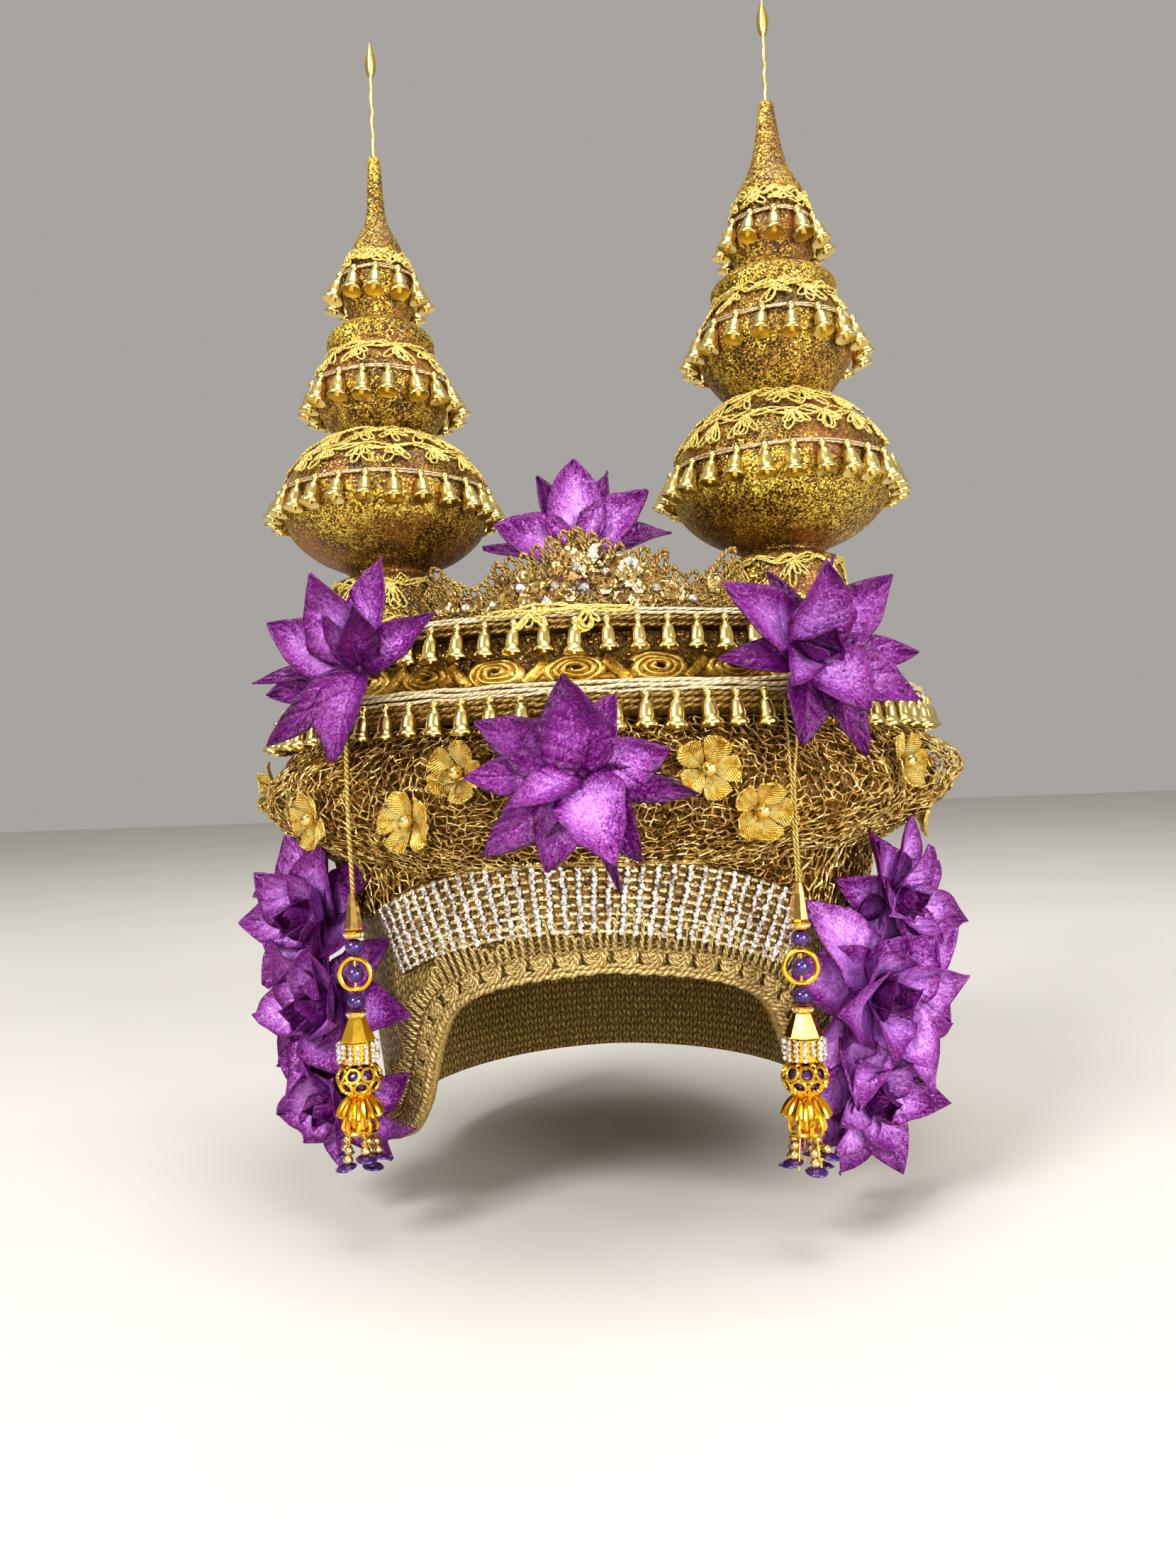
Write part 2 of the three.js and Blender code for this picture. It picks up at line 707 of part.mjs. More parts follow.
function roundRow(x, y, z, radius, sides) {
  const row = [];
  for (let i = 0; i < sides; i += 1) {
    const angle = (i / sides) * 2 * Math.PI;
    row.push(point(x + radius * Math.sin(angle), y - radius * Math.cos(angle), z));
  }
  return row;
}

// A turned body about an upright axis
function turned(x, y, sections, sides) {
  return loft(sections.map(({ z, radius }) => roundRow(x, y, z, radius, sides)));
}

// Wavy wire with a flat leaf on its end
function makeLeaf(spire) {
  const foot = spire.top[spire.top.length - 1].z + gap;
  const sides = 5;
  const rows = [];
  const flatRow = (x, z, halfWidth, halfThickness) => {
    const row = [];
    for (let i = 0; i < sides; i += 1) {
      const angle = (i / sides) * 2 * Math.PI;
      row.push(point(x + halfWidth * Math.cos(angle), spireY + halfThickness * Math.sin(angle), z));
    }
    return row;
  };
  for (let i = 0; i <= leaf.stemSteps; i += 1) {
    const share = i / leaf.stemSteps;
    const x = spire.x + leaf.sway * Math.sin(share * 2 * Math.PI);
    rows.push(flatRow(x, foot + (spire.leafFoot - foot) * share, leaf.stemRadius, leaf.stemRadius));
  }
  const length = spire.leafTip - spire.leafFoot;
  rows.push(flatRow(spire.x, spire.leafFoot + length * 0.35, leaf.halfWidth, leaf.halfThickness));
  rows.push(flatRow(spire.x, spire.leafFoot + length * 0.65, leaf.halfWidth * 0.8, leaf.halfThickness));
  rows.push([point(spire.x, spireY, spire.leafTip)]);
  return loft(rows);
}

// Petal outline: the valley before each petal and its pointed tip
function petalRow(radius, tipHeight, valleyHeight, turn) {
  const row = [];
  const pitch = (2 * Math.PI) / bloomPetals;
  for (let i = 0; i < bloomPetals; i += 1) {
    const valley = (i - 0.5 + turn) * pitch;
    const tip = (i + turn) * pitch;
    const reach = radius * bloomShape.valley;
    row.push(point(reach * Math.cos(valley), reach * Math.sin(valley), valleyHeight));
    row.push(point(radius * Math.cos(tip), radius * Math.sin(tip), tipHeight));
  }
  return row;
}

function hubRow(radius, height, turn) {
  const row = [];
  const pitch = Math.PI / bloomPetals;
  for (let i = 0; i < bloomPetals * 2; i += 1) {
    const angle = (i - 1 + turn * 2) * pitch;
    row.push(point(radius * Math.cos(angle), radius * Math.sin(angle), height));
  }
  return row;
}

function facingMatrix({ x, y, z, facing, spin }) {
  const ahead = point(...facing).normalize();
  const sideways = point(0, 0, 1).cross(ahead).normalize();
  const upward = ahead.clone().cross(sideways);
  const matrix = new THREE.Matrix4().makeBasis(sideways, upward, ahead);
  matrix.multiply(new THREE.Matrix4().makeRotationZ(spin * radians));
  return new THREE.Matrix4().makeTranslation(x, y, z).multiply(matrix);
}

// Flower of one or two layers of pointed petals on a hub that reaches back to its seat
function makeBloom(flower) {
  const { radius, stalk } = flower;
  const inner = radius * bloomShape.innerShare;
  const cup = radius * bloomShape.cup;
  const innerCup = radius * bloomShape.innerCup;
  const rows = [
    hubRow(hubRadius, -stalk - 1.5, 0),
    hubRow(hubRadius, -0.8, 0),
    petalRow(radius, cup * 1.2, cup, 0),
  ];
  if (flower.layers !== 1) {
    rows.push(hubRow(hubRadius + 1, 1.2, 0.25));
    rows.push(petalRow(inner, innerCup * 1.15, innerCup, 0.5));
  }
  rows.push([point(0, 0, 4)]);
  const geometry = loft(rows);
  geometry.applyMatrix4(facingMatrix(flower));
  return geometry;
}

// A straight round stem between two points
function makeStem(from, to, radius, sides = stemSides) {
  const ahead = to.clone().sub(from).normalize();
  const sideways = Math.abs(ahead.z) > 0.9 ? point(1, 0, 0) : point(0, 0, 1).cross(ahead).normalize();
  const upward = ahead.clone().cross(sideways).normalize();
  const across = upward.clone().cross(ahead).normalize();
  const ringAt = (centre) => {
    const row = [];
    for (let i = 0; i < sides; i += 1) {
      const angle = (i / sides) * 2 * Math.PI;
      const edge = centre.clone().addScaledVector(across, radius * Math.cos(angle));
      row.push(edge.addScaledVector(upward, radius * Math.sin(angle)));
    }
    return row;
  };
  return loft([ringAt(from), ringAt(to)]);
}

function hubEnd(flower, back) {
  const ahead = point(...flower.facing).normalize();
  return point(flower.x, flower.y, flower.z).addScaledVector(ahead, -back);
}

// Corner flower with a peg down to the top of the brim
function makeCornerFlower(flower) {
  const end = hubEnd(flower, flower.stalk - 1);
  const seat = brim.rows[brim.rows.length - 1].z + gap;
  return fuse([makeBloom(flower), makeStem(end, point(end.x, end.y, seat), 2.4)]);
}

function makeBackFlower() {
  const end = hubEnd(backFlower, backFlower.stalk);
  const seat = tierTop + gap;
  return fuse([makeBloom(backFlower), makeStem(end, point(end.x, end.y, seat), 2.4)]);
}

// Three flowers on one stem laid along the side of the cap
function makeSpray(flowers) {
  const seats = flowers.map((flower) => {
    const angle = Math.atan2(flower.x, -flower.y);
    return capPoint(angle, flower.z, gap + sprayStem + 0.5);
  });
  const bodies = flowers.map((flower) => makeBloom(flower));
  flowers.forEach((flower, i) => {
    bodies.push(makeStem(seats[i], hubEnd(flower, flower.stalk - 2), sprayStem));
    if (i > 0) bodies.push(makeStem(seats[i - 1], seats[i], sprayStem));
  });
  return fuse(bodies);
}

// Five round petals about a pearl, its back drawn to a point that meets the net
function makeGoldFlower({ angle, z, spin }) {
  const turn = angle * radians;
  const out = netOutward(turn, z);
  const stand = goldStand + netRise(turn, z, out);
  const at = netPoint(turn, z).addScaledVector(out, stand + gap);
  const outline = [];
  const neck = [];
  for (let i = 0; i < 5; i += 1) {
    for (const [share, reach] of [[0, 0.45], [0.3, 1], [0.7, 1]]) {
      const a = ((i + share) / 5) * 2 * Math.PI;
      outline.push(point(goldRadius * reach * Math.cos(a), goldRadius * reach * Math.sin(a), reach));
      neck.push(point(goldPearl * Math.cos(a), goldPearl * Math.sin(a), 1.4));
    }
  }
  const geometry = loft([[point(0, 0, -stand)], outline, neck, [point(0, 0, 1.4 + goldPearl)]]);
  const seat = { x: at.x, y: at.y, z: at.z, facing: [out.x, out.y, out.z], spin };
  geometry.applyMatrix4(facingMatrix(seat));
  return geometry;
}

// Place of a drop on the string of the brim's bells
function dropSpot({ x }) {
  const halfWidth = brim.halfWidth + gap + 0.1 + tape.depth / 2;
  const halfDepth = brim.halfDepth + gap + 0.1 + tape.depth / 2;
  return { x, y: -halfDepth * Math.sqrt(1 - (x / halfWidth) ** 2) };
}

function makeCord(x, y) {
  const top = brimBells.stringZ - tape.height / 2 - gap;
  const bottom = dropTop + gap;
  const section = new THREE.Shape();
  for (let i = 0; i < cord.sides; i += 1) {
    const angle = (i / cord.sides) * 2 * Math.PI;
    const place = [cord.radius * Math.cos(angle), cord.radius * Math.sin(angle)];
    if (i === 0) section.moveTo(...place);
    else section.lineTo(...place);
  }
  section.closePath();
  const route = new THREE.LineCurve3(point(x, y, top), point(x, y, bottom));
  const sweep = { steps: cord.steps, bevelEnabled: false, extrudePath: route };
  const tube = new THREE.ExtrudeGeometry(section, sweep);
  tube.deleteAttribute('normal');
  tube.deleteAttribute('uv');
  const geometry = mergeVertices(tube, 1e-4);
  geometry.computeVertexNormals();
  return geometry;
}

function beadRows(top, { length, radius }) {
  return [
    { z: top, radius: radius * 0.45 },
    { z: top - length * 0.32, radius },
    { z: top - length * 0.68, radius },
    { z: top - length, radius: radius * 0.45 },
  ];
}

// Flat gold ring seen from the front, with a pearl strung across it
function makeRing(x, y, top) {
  const { outer, inner, depth, steps } = dropPieces.ring;
  const middle = top - outer;
  const points = [];
  const faces = [];
  for (let s = 0; s < steps; s += 1) {
    const angle = (s / steps) * 2 * Math.PI;
    for (const [radius, side] of [[inner, -1], [outer, -1], [outer, 1], [inner, 1]]) {
      const across = x + radius * Math.sin(angle);
      points.push(point(across, y + (side * depth) / 2, middle + radius * Math.cos(angle)));
    }
  }
  for (let s = 0; s < steps; s += 1) {
    const next = (s + 1) % steps;
    for (let e = 0; e < 4; e += 1) {
      const f = (e + 1) % 4;
      addQuad(faces, 4 * s + e, 4 * s + f, 4 * next + f, 4 * next + e);
    }
  }
  const pearl = { length: dropPieces.pearl.radius * 2, radius: dropPieces.pearl.radius };
  const bead = turned(x, y, beadRows(middle + pearl.radius, pearl), dropSides);
  const rod = makeStem(point(x, y, middle - inner - 0.6), point(x, y, middle + inner + 0.6), 0.6);
  return fuse([solidFrom(points, faces), bead, rod]);
}

// Fluted skirt, a cap below it, and dangles fused under the cap
function makeTassel(x, y, top) {
  const { flutes, lowerCap, dangle } = dropPieces;
  const ribs = 12;
  const fluted = (z, radius) => {
    const row = [];
    for (let i = 0; i < ribs; i += 1) {
      const angle = (i / ribs) * 2 * Math.PI;
      const reach = i % 2 === 0 ? radius : radius - flutes.dip * (radius / flutes.bottomRadius);
      row.push(point(x + reach * Math.sin(angle), y - reach * Math.cos(angle), z));
    }
    return row;
  };
  const skirtFoot = top - flutes.length;
  const capFoot = skirtFoot - lowerCap.length;
  const head = loft([
    fluted(top, flutes.topRadius),
    fluted(skirtFoot, flutes.bottomRadius),
    fluted(skirtFoot - 0.6, lowerCap.radius * 0.6),
    fluted(skirtFoot - lowerCap.length * 0.6, lowerCap.radius),
    fluted(capFoot, lowerCap.radius * 0.8),
  ]);
  const bodies = [head];
  for (let i = 0; i < dangle.count; i += 1) {
    const angle = ((i + 0.5) / dangle.count) * 2 * Math.PI;
    const atX = x + dangle.ring * Math.sin(angle);
    const atY = y - dangle.ring * Math.cos(angle);
    const lean = 1 + (i % 2) * 0.5;
    const endX = atX + lean * Math.sin(angle);
    const endY = atY - lean * Math.cos(angle);
    const reach = dangle.length * (i % 2 === 0 ? 1 : 0.78);
    bodies.push(loft([
      roundRow(atX, atY, capFoot + 2, dangle.topHalf, 4),
      roundRow(endX, endY, capFoot - reach, dangle.bottomHalf, 4),
    ]));
  }
  return fuse(bodies);
}

// One whole drop, piece under piece
function placeDrop(side) {
  const { x, y } = dropSpot(drops[side]);
  const { cone, rondelle, pearl, ring, coneCap, collar, ball } = dropPieces;
  place(`${side}_drop_cord`, makeCord(x, y), braidGold);
  let z = dropTop;
  const coneFoot = z - cone.length;
  place(`${side}_drop_cone_bead`, turned(x, y, [
    { z, radius: cone.topRadius },
    { z: coneFoot, radius: cone.bottomRadius },
    { z: coneFoot - 0.2, radius: rondelle.radius },
    { z: coneFoot - rondelle.length, radius: rondelle.radius },
  ], dropSides), dropGold);
  z = coneFoot - rondelle.length - gap;
  place(`${side}_drop_pearl_upper`, turned(x, y, beadRows(z, pearl), dropSides), pearlViolet);
  z -= pearl.length + gap;
  place(`${side}_drop_ring`, makeRing(x, y, z), dropGold);
  z -= ring.outer * 2 + gap;
  place(`${side}_drop_pearl_lower`, turned(x, y, beadRows(z, pearl), dropSides), pearlViolet);
  z -= pearl.length + gap;
  place(`${side}_drop_cone_cap`, turned(x, y, [
    { z, radius: rondelle.radius },
    { z: z - rondelle.length, radius: rondelle.radius },
    { z: z - rondelle.length - 0.2, radius: coneCap.topRadius },
    { z: z - rondelle.length - coneCap.length, radius: coneCap.bottomRadius },
  ], dropSides), dropGold);
  z -= rondelle.length + coneCap.length + gap;
  place(`${side}_drop_crystal_collar`, turned(x, y, [
    { z, radius: collar.radius * 0.85 },
    { z: z - 1.5, radius: collar.radius },
    { z: z - collar.length + 1, radius: collar.radius },
    { z: z - collar.length, radius: collar.radius * 0.9 },
  ], 12), crystal);
  z -= collar.length + gap;
  place(`${side}_drop_openwork_ball`, turned(x, y, beadRows(z, ball), 12), dropGold);
  z -= ball.length + gap;
  place(`${side}_drop_tassel`, makeTassel(x, y, z), dropGold);
}

// The whole headdress
place('cap', makeCap(), lurexGold);
place('crystal_band', makeBand(), crystal);
place('rim_braid', makeBraid(), braidGold);
place('net_ruffle', makeNet(), netGold);
place('lower_brim', makeBoard(brim), glitterBronze);
const clearOfDrops = (at) => at.y > 0
  || Object.values(drops).every(({ bellsFrom, bellsTo }) => at.x < bellsFrom || at.x > bellsTo);
place('lower_brim_bells', boardBells(brim, brimBells, clearOfDrops), bellGold);
place('tier_riser', makeBoard(riser), glitterBronze);
place('rosette_trim', makeRosettes(), satinGold);
place('upper_tier', makeBoard(tier), glitterBronze);
place('upper_tier_bells', boardBells(tier, tierBells, () => true), bellGold);
place('crest', makeCrest(), braidGold);
for (const [side, spire] of Object.entries(spires)) {
  place(`${side}_spire_bowl`, turned(spire.x, spireY, spire.bowl, spireSides), spirePaint);
  place(`${side}_spire_mid`, turned(spire.x, spireY, spire.mid, spireSides), spirePaint);
  place(`${side}_spire_top`, turned(spire.x, spireY, spire.top, spireSides), spirePaint);
  place(`${side}_spire_leaf`, makeLeaf(spire), dropGold);
  place(`${side}_bowl_bells`, spireBells(spire, spire.bowl, spire.bowlBells), bellGold);
  place(`${side}_mid_bells`, spireBells(spire, spire.mid, spire.midBells), bellGold);
  place(`${side}_top_bells`, spireBells(spire, spire.top, spire.topBells), bellGold);
}
const netFront = netPoint(0, frontFlower.z).y - gap;
place('front_flower', makeBloom({ ...frontFlower, stalk: netFront - frontFlower.y - 1.3 }), petalPurple);
place('left_corner_flower', makeCornerFlower(cornerFlowers.left), petalPurple);
place('right_corner_flower', makeCornerFlower(cornerFlowers.right), petalPurple);
place('back_flower', makeBackFlower(), petalPurple);
place('left_side_flowers', makeSpray(sideSprays.left), petalPurple);
place('right_side_flowers', makeSpray(sideSprays.right), petalPurple);
for (const flower of goldFlowers) {
  place(flower.name, makeGoldFlower(flower), petalGold);
}
placeDrop('left');
placeDrop('right');

export default part;
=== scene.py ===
# Studio looks for a twin-spired dance headdress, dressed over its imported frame
import math
import random
import bpy
from mathutils import Matrix, Vector, noise


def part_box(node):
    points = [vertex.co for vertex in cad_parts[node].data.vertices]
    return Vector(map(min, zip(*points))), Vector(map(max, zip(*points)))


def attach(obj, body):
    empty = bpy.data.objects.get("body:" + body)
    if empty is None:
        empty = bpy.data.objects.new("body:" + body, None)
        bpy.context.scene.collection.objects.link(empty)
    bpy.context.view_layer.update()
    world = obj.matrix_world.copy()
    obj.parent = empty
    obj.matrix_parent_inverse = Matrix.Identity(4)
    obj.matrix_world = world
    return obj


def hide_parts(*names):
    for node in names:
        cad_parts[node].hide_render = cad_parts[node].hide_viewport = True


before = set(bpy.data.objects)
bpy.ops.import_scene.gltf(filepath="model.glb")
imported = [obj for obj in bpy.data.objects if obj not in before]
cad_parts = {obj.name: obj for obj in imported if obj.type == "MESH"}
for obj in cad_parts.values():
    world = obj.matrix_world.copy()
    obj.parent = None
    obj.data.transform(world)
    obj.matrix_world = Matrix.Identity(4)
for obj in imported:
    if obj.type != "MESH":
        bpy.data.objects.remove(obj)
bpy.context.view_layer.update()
bpy.ops.object.select_all(action='DESELECT')
mm = 0.001
tau = 2 * math.pi
up = Vector((0, 0, 1))
print('frame loaded:', len(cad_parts), 'nodes')

# Small helpers for modelling


def blend(a, b, share):
    return a + (b - a) * share


def curveAt(p, q, r, s, t):
    # a smooth curve from q to r that leaves and arrives in line with p and s
    bend = (2 * p - 5 * q + 4 * r - s) * t * t
    twist = (3 * q - p - 3 * r + s) * t ** 3
    return 0.5 * (2 * q + (r - p) * t + bend + twist)


def smoothTable(rows, steps):
    # extra rows on a smooth curve through the given ones
    ends = [rows[0]] + list(rows) + [rows[-1]]
    made = []
    for around in zip(ends, ends[1:], ends[2:], ends[3:]):
        for step in range(steps):
            made.append(tuple(curveAt(*values, step / steps) for values in zip(*around)))
    made.append(tuple(rows[-1]))
    return made


def tableAt(rows, key, column=1):
    # value of a column where the first one reaches a key; the rows rise or fall
    ordered = sorted(rows)
    if key <= ordered[0][0]:
        return ordered[0][column]
    for low, high in zip(ordered, ordered[1:]):
        if key <= high[0]:
            return blend(low[column], high[column], (key - low[0]) / (high[0] - low[0]))
    return ordered[-1][column]


def onOval(wide, deep, angle, z, lift=0.0, centreX=0.0):
    # a place lifted off an oval and the way out from it; angle 0 is the front
    out = Vector((math.sin(angle) / wide, -math.cos(angle) / deep, 0)).normalized()
    return Vector((centreX + wide * math.sin(angle), -deep * math.cos(angle), z)) + out * lift, out


def spoke(angle):
    return Vector((math.cos(angle), math.sin(angle), 0))


def bearing(angle):
    # a level way, from the front at 0 round by photo right
    return Vector((math.sin(angle), -math.cos(angle), 0))


def anyWay(dice):
    return Vector((dice.uniform(-1, 1), dice.uniform(-1, 1), dice.uniform(-1, 1)))


def standAt(place, zAxis, xHint, size=1.0):
    z = zAxis.normalized()
    x = (xHint - z * xHint.dot(z)).normalized()
    turn = Matrix((x, z.cross(x), z)).transposed().to_4x4()
    return Matrix.Translation(place) @ turn @ Matrix.Scale(size, 4)


def joined(name):
    return name.title().replace('_', '')


def wear(piece, name, finish, nodes=()):
    # a piece is modelled in millimetres; here it gets its true size, name and finish
    piece.data.transform(Matrix.Scale(mm, 4))
    piece.name = name
    piece.data.name = name
    piece.data.materials.clear()
    piece.data.materials.append(finishes[finish])
    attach(piece, 'root')
    if nodes:
        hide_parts(*nodes)
    return piece


def newParts():
    return {'points': [], 'faces': [], 'uvs': [], 'tints': []}


def pieceFrom(parts, smooth=True):
    mesh = bpy.data.meshes.new('piece')
    mesh.from_pydata(parts['points'], [], parts['faces'])
    if parts['uvs']:
        layer = mesh.uv_layers.new(name='UVMap')
        layer.data.foreach_set('uv', [n for face in parts['uvs'] for corner in face for n in corner])
    if parts['tints']:
        mesh.attributes.new('tint', 'FLOAT', 'POINT').data.foreach_set('value', parts['tints'])
    mesh.polygons.foreach_set('use_smooth', [smooth] * len(mesh.polygons))
    piece = bpy.data.objects.new('piece', mesh)
    bpy.context.collection.objects.link(piece)
    return piece


def addTube(parts, path, outs, radius, sides=6, closed=False, tint=0.5):
    # a cord along a path; outs point away from what it lies on; uv is metres along and turns round
    start = len(parts['points'])
    count = len(path)
    lengths = [0.0]
    for a, b in zip(path, path[1:] + path[:1]):
        lengths.append(lengths[-1] + (b - a).length * mm)
    for i, place in enumerate(path):
        before = path[i - 1] if closed or i else place
        after = path[(i + 1) % count] if closed or i + 1 < count else place
        ahead = (after - before).normalized()
        out = (outs[i] - ahead * outs[i].dot(ahead)).normalized()
        side = ahead.cross(out)
        reach = radius[i] if isinstance(radius, list) else radius
        for k in range(sides):
            turn = tau * k / sides
            parts['points'].append(place + (out * math.cos(turn) + side * math.sin(turn)) * reach)
            parts['tints'].append(tint)
    for i in range(count if closed else count - 1):
        a, b = start + i * sides, start + (i + 1) % count * sides
        for k in range(sides):
            m = (k + 1) % sides
            parts['faces'].append((a + k, a + m, b + m, b + k))
            u0, u1, v0, v1 = lengths[i], lengths[i + 1], k / sides, (k + 1) / sides
            parts['uvs'].append(((u0, v0), (u0, v1), (u1, v1), (u1, v0)))
    if not closed:
        last = start + (count - 1) * sides
        parts['faces'].append(tuple(start + k for k in reversed(range(sides))))
        parts['faces'].append(tuple(last + k for k in range(sides)))
        parts['uvs'] += [((0, 0),) * sides, ((0, 0),) * sides]


def gridFaces(start, columns, rows, ring=False):
    # faces over points laid row by row; in a ring each row ends where it began
    wide = columns if ring else columns + 1
    faces = []
    for j in range(rows):
        for i in range(columns):
            a, b = start + j * wide + i, start + j * wide + (i + 1) % wide
            faces.append((a, b, b + wide, a + wide))
    return faces


def gridMap(columns, rows, length=1.0, height=1.0):
    # the same faces on a flat map
    faces = []
    for j in range(rows):
        for i in range(columns):
            corners = (i, j), (i + 1, j), (i + 1, j + 1), (i, j + 1)
            faces.append([(c * length / columns, height * r / rows) for c, r in corners])
    return faces


def turnedOver(faces):
    return [(a, d, c, b) for a, b, c, d in faces]


def layCord(parts, stops, *settings):
    # a tube along stops, each a place and the way out from what it lies on
    addTube(parts, [place for place, out in stops], [out for place, out in stops], *settings)


def addCopies(parts, source, frames, dice):
    # many copies of one modelled piece, each with a tint of its own
    mesh = source.data
    base = [v.co.copy() for v in mesh.vertices]
    polys = [tuple(p.vertices) for p in mesh.polygons]
    layer = mesh.uv_layers.active
    corners = [[tuple(layer.data[i].uv) if layer else (0, 0) for i in p.loop_indices] for p in mesh.polygons]
    for matrix in frames:
        start = len(parts['points'])
        tint = dice.random()
        parts['points'] += [matrix @ co for co in base]
        parts['faces'] += [tuple(start + i for i in poly) for poly in polys]
        parts['uvs'] += corners
        parts['tints'] += [tint] * len(base)


def copiesOf(source, frames, dice, smooth=True):
    parts = newParts()
    addCopies(parts, source, frames, dice)
    return pieceFrom(parts, smooth)


def takeOut(*sources):
    for source in sources:
        bpy.data.objects.remove(source)


def startMesh(piece=None):
    # object mode with nothing selected, or one piece alone
    if bpy.context.object and bpy.context.object.mode != 'OBJECT':
        bpy.ops.object.mode_set(mode='OBJECT')
    bpy.ops.object.select_all(action='DESELECT')
    if piece:
        piece.select_set(True)
        bpy.context.view_layer.objects.active = piece


def stacked(rows, sides=64, centre=(0.0, 0.0)):
    # a disc drawn up ring by ring; rows are z, half width, half depth
    startMesh()
    z, wide, deep = rows[0]
    x, y = centre
    bpy.ops.mesh.primitive_circle_add(vertices=sides, radius=1, fill_type='NGON', location=(x, y, z))
    piece = bpy.context.object
    piece.scale = (wide, deep, 1)
    bpy.ops.object.transform_apply(location=True, rotation=False, scale=True)
    bpy.ops.object.mode_set(mode='EDIT')
    bpy.ops.mesh.select_all(action='SELECT')
    for (z0, w0, d0), (z1, w1, d1) in zip(rows, rows[1:]):
        bpy.ops.mesh.extrude_region_move(TRANSFORM_OT_translate={'value': (0, 0, z1 - z0)})
        bpy.ops.transform.resize(value=(w1 / w0, d1 / d0, 1), center_override=(x, y, z1))
    bpy.ops.mesh.select_all(action='SELECT')
    bpy.ops.mesh.normals_make_consistent(inside=False)
    bpy.ops.object.mode_set(mode='OBJECT')
    bpy.ops.object.shade_smooth_by_angle(angle=math.radians(40))
    return piece


def turned(rows, sides=32, centre=(0.0, 0.0)):
    return stacked([(z, r, r) for z, r in rows], sides, centre)


def ballAt(radius, z=0.0, segments=12, rings=8, squash=1.0):
    # a bead, with a small dimple at each pole where its thread goes in
    startMesh()
    bpy.ops.mesh.primitive_uv_sphere_add(segments=segments, ring_count=rings, radius=radius,
                                         location=(0, 0, 0))
    piece = bpy.context.object
    bpy.ops.object.mode_set(mode='EDIT')
    bpy.ops.mesh.select_all(action='DESELECT')
    bpy.ops.object.mode_set(mode='OBJECT')
    for v in piece.data.vertices:
        v.select = abs(v.co.z) > radius * 0.999
    bpy.ops.object.mode_set(mode='EDIT')
    bpy.ops.transform.resize(value=(1, 1, 0.9), center_override=(0, 0, 0))
    bpy.ops.mesh.select_all(action='SELECT')
    bpy.ops.transform.resize(value=(1, 1, squash), center_override=(0, 0, 0))
    bpy.ops.transform.translate(value=(0, 0, z))
    bpy.ops.object.mode_set(mode='OBJECT')
    bpy.ops.object.shade_smooth()
    return piece


def applyModifier(piece, kind, **settings):
    startMesh(piece)
    modifier = piece.modifiers.new(kind, kind)
    for key, value in settings.items():
        setattr(modifier, key, value)
    bpy.ops.object.modifier_apply(modifier=modifier.name)
    return piece


def bevelledBar(size, width, segments):
    startMesh()
    bpy.ops.mesh.primitive_cube_add(size=1)
    bar = bpy.context.object
    bar.data.transform(Matrix.Diagonal((*size, 1)))
    return applyModifier(bar, 'BEVEL', width=width, segments=segments)


def smoothByAngle(piece, degrees):
    startMesh(piece)
    bpy.ops.object.shade_smooth_by_angle(angle=math.radians(degrees))
    return piece


def laceFrom(cells, placeOf, thickness, columns=None):
    # six-sided cells that share their corners, each side then a thread; columns close it into a ring
    hexagon = ((0, 2 / 3), (-0.5, 1 / 3), (-0.5, -1 / 3), (0, -2 / 3), (0.5, -1 / 3), (0.5, 1 / 3))
    parts, found = newParts(), {}
    for x, y in cells:
        face = []
        for dx, dy in hexagon:
            across, key = round(2 * (x + dx)), round(3 * (y + dy))
            key = (across % (2 * columns) if columns else across, key)
            if key not in found:
                found[key] = len(parts['points'])
                parts['points'].append(placeOf(x + dx, y + dy))
            face.append(found[key])
        parts['faces'].append(tuple(face))
    piece = pieceFrom(parts)
    return applyModifier(piece, 'WIREFRAME', thickness=thickness, use_even_offset=False, use_replace=True)


# Small helpers for finishes


def newGroup(name, inputs, outputs):
    group = bpy.data.node_groups.new(name, 'ShaderNodeTree')
    for label, value in inputs.items():
        socket = group.interface.new_socket(label, in_out='INPUT', socket_type='NodeSocketFloat')
        socket.default_value = value
    for label, kind in outputs.items():
        group.interface.new_socket(label, in_out='OUTPUT', socket_type='NodeSocket' + kind)
    return group, group.nodes.new('NodeGroupInput'), group.nodes.new('NodeGroupOutput')


def add(tree, kind, values=None, **settings):
    node = tree.nodes.new('ShaderNode' + kind)
    for key, value in settings.items():
        setattr(node, key, value)
    for key, value in (values or {}).items():
        node.inputs[key].default_value = value
    return node


def plug(tree, node, **sources):
    # each source into the socket of its name
    for label, source in sources.items():
        tree.links.new(source, node.inputs[label.replace('_', ' ')])


def calc(tree, operation, a, b=0.0, clamp=False):
    node = add(tree, 'Math', operation=operation, use_clamp=clamp)
    for socket, value in zip(node.inputs, (a, b)):
        if isinstance(value, (int, float)):
            socket.default_value = value
        else:
            tree.links.new(value, socket)
    return node.outputs[0]


def times(tree, value, weight, clamp=False):
    return calc(tree, 'MULTIPLY', value, weight, clamp)


def weigh(tree, *shares):
    # the sum of some values, each times its weight
    total = times(tree, *shares[0])
    for share in shares[1:]:
        total = calc(tree, 'ADD', total, times(tree, *share))
    return total


def lessBy(tree, level, mask, weight, clamp=False):
    return calc(tree, 'SUBTRACT', level, times(tree, mask, weight), clamp)


def ramp(tree, source, stops):
    node = add(tree, 'ValToRGB')
    elements = node.color_ramp.elements
    while len(elements) < len(stops):
        elements.new(0.5)
    for element, (place, colour) in zip(elements, stops):
        element.position = place
        element.color = (*colour, 1)
    plug(tree, node, Fac=source)
    return node.outputs['Color']


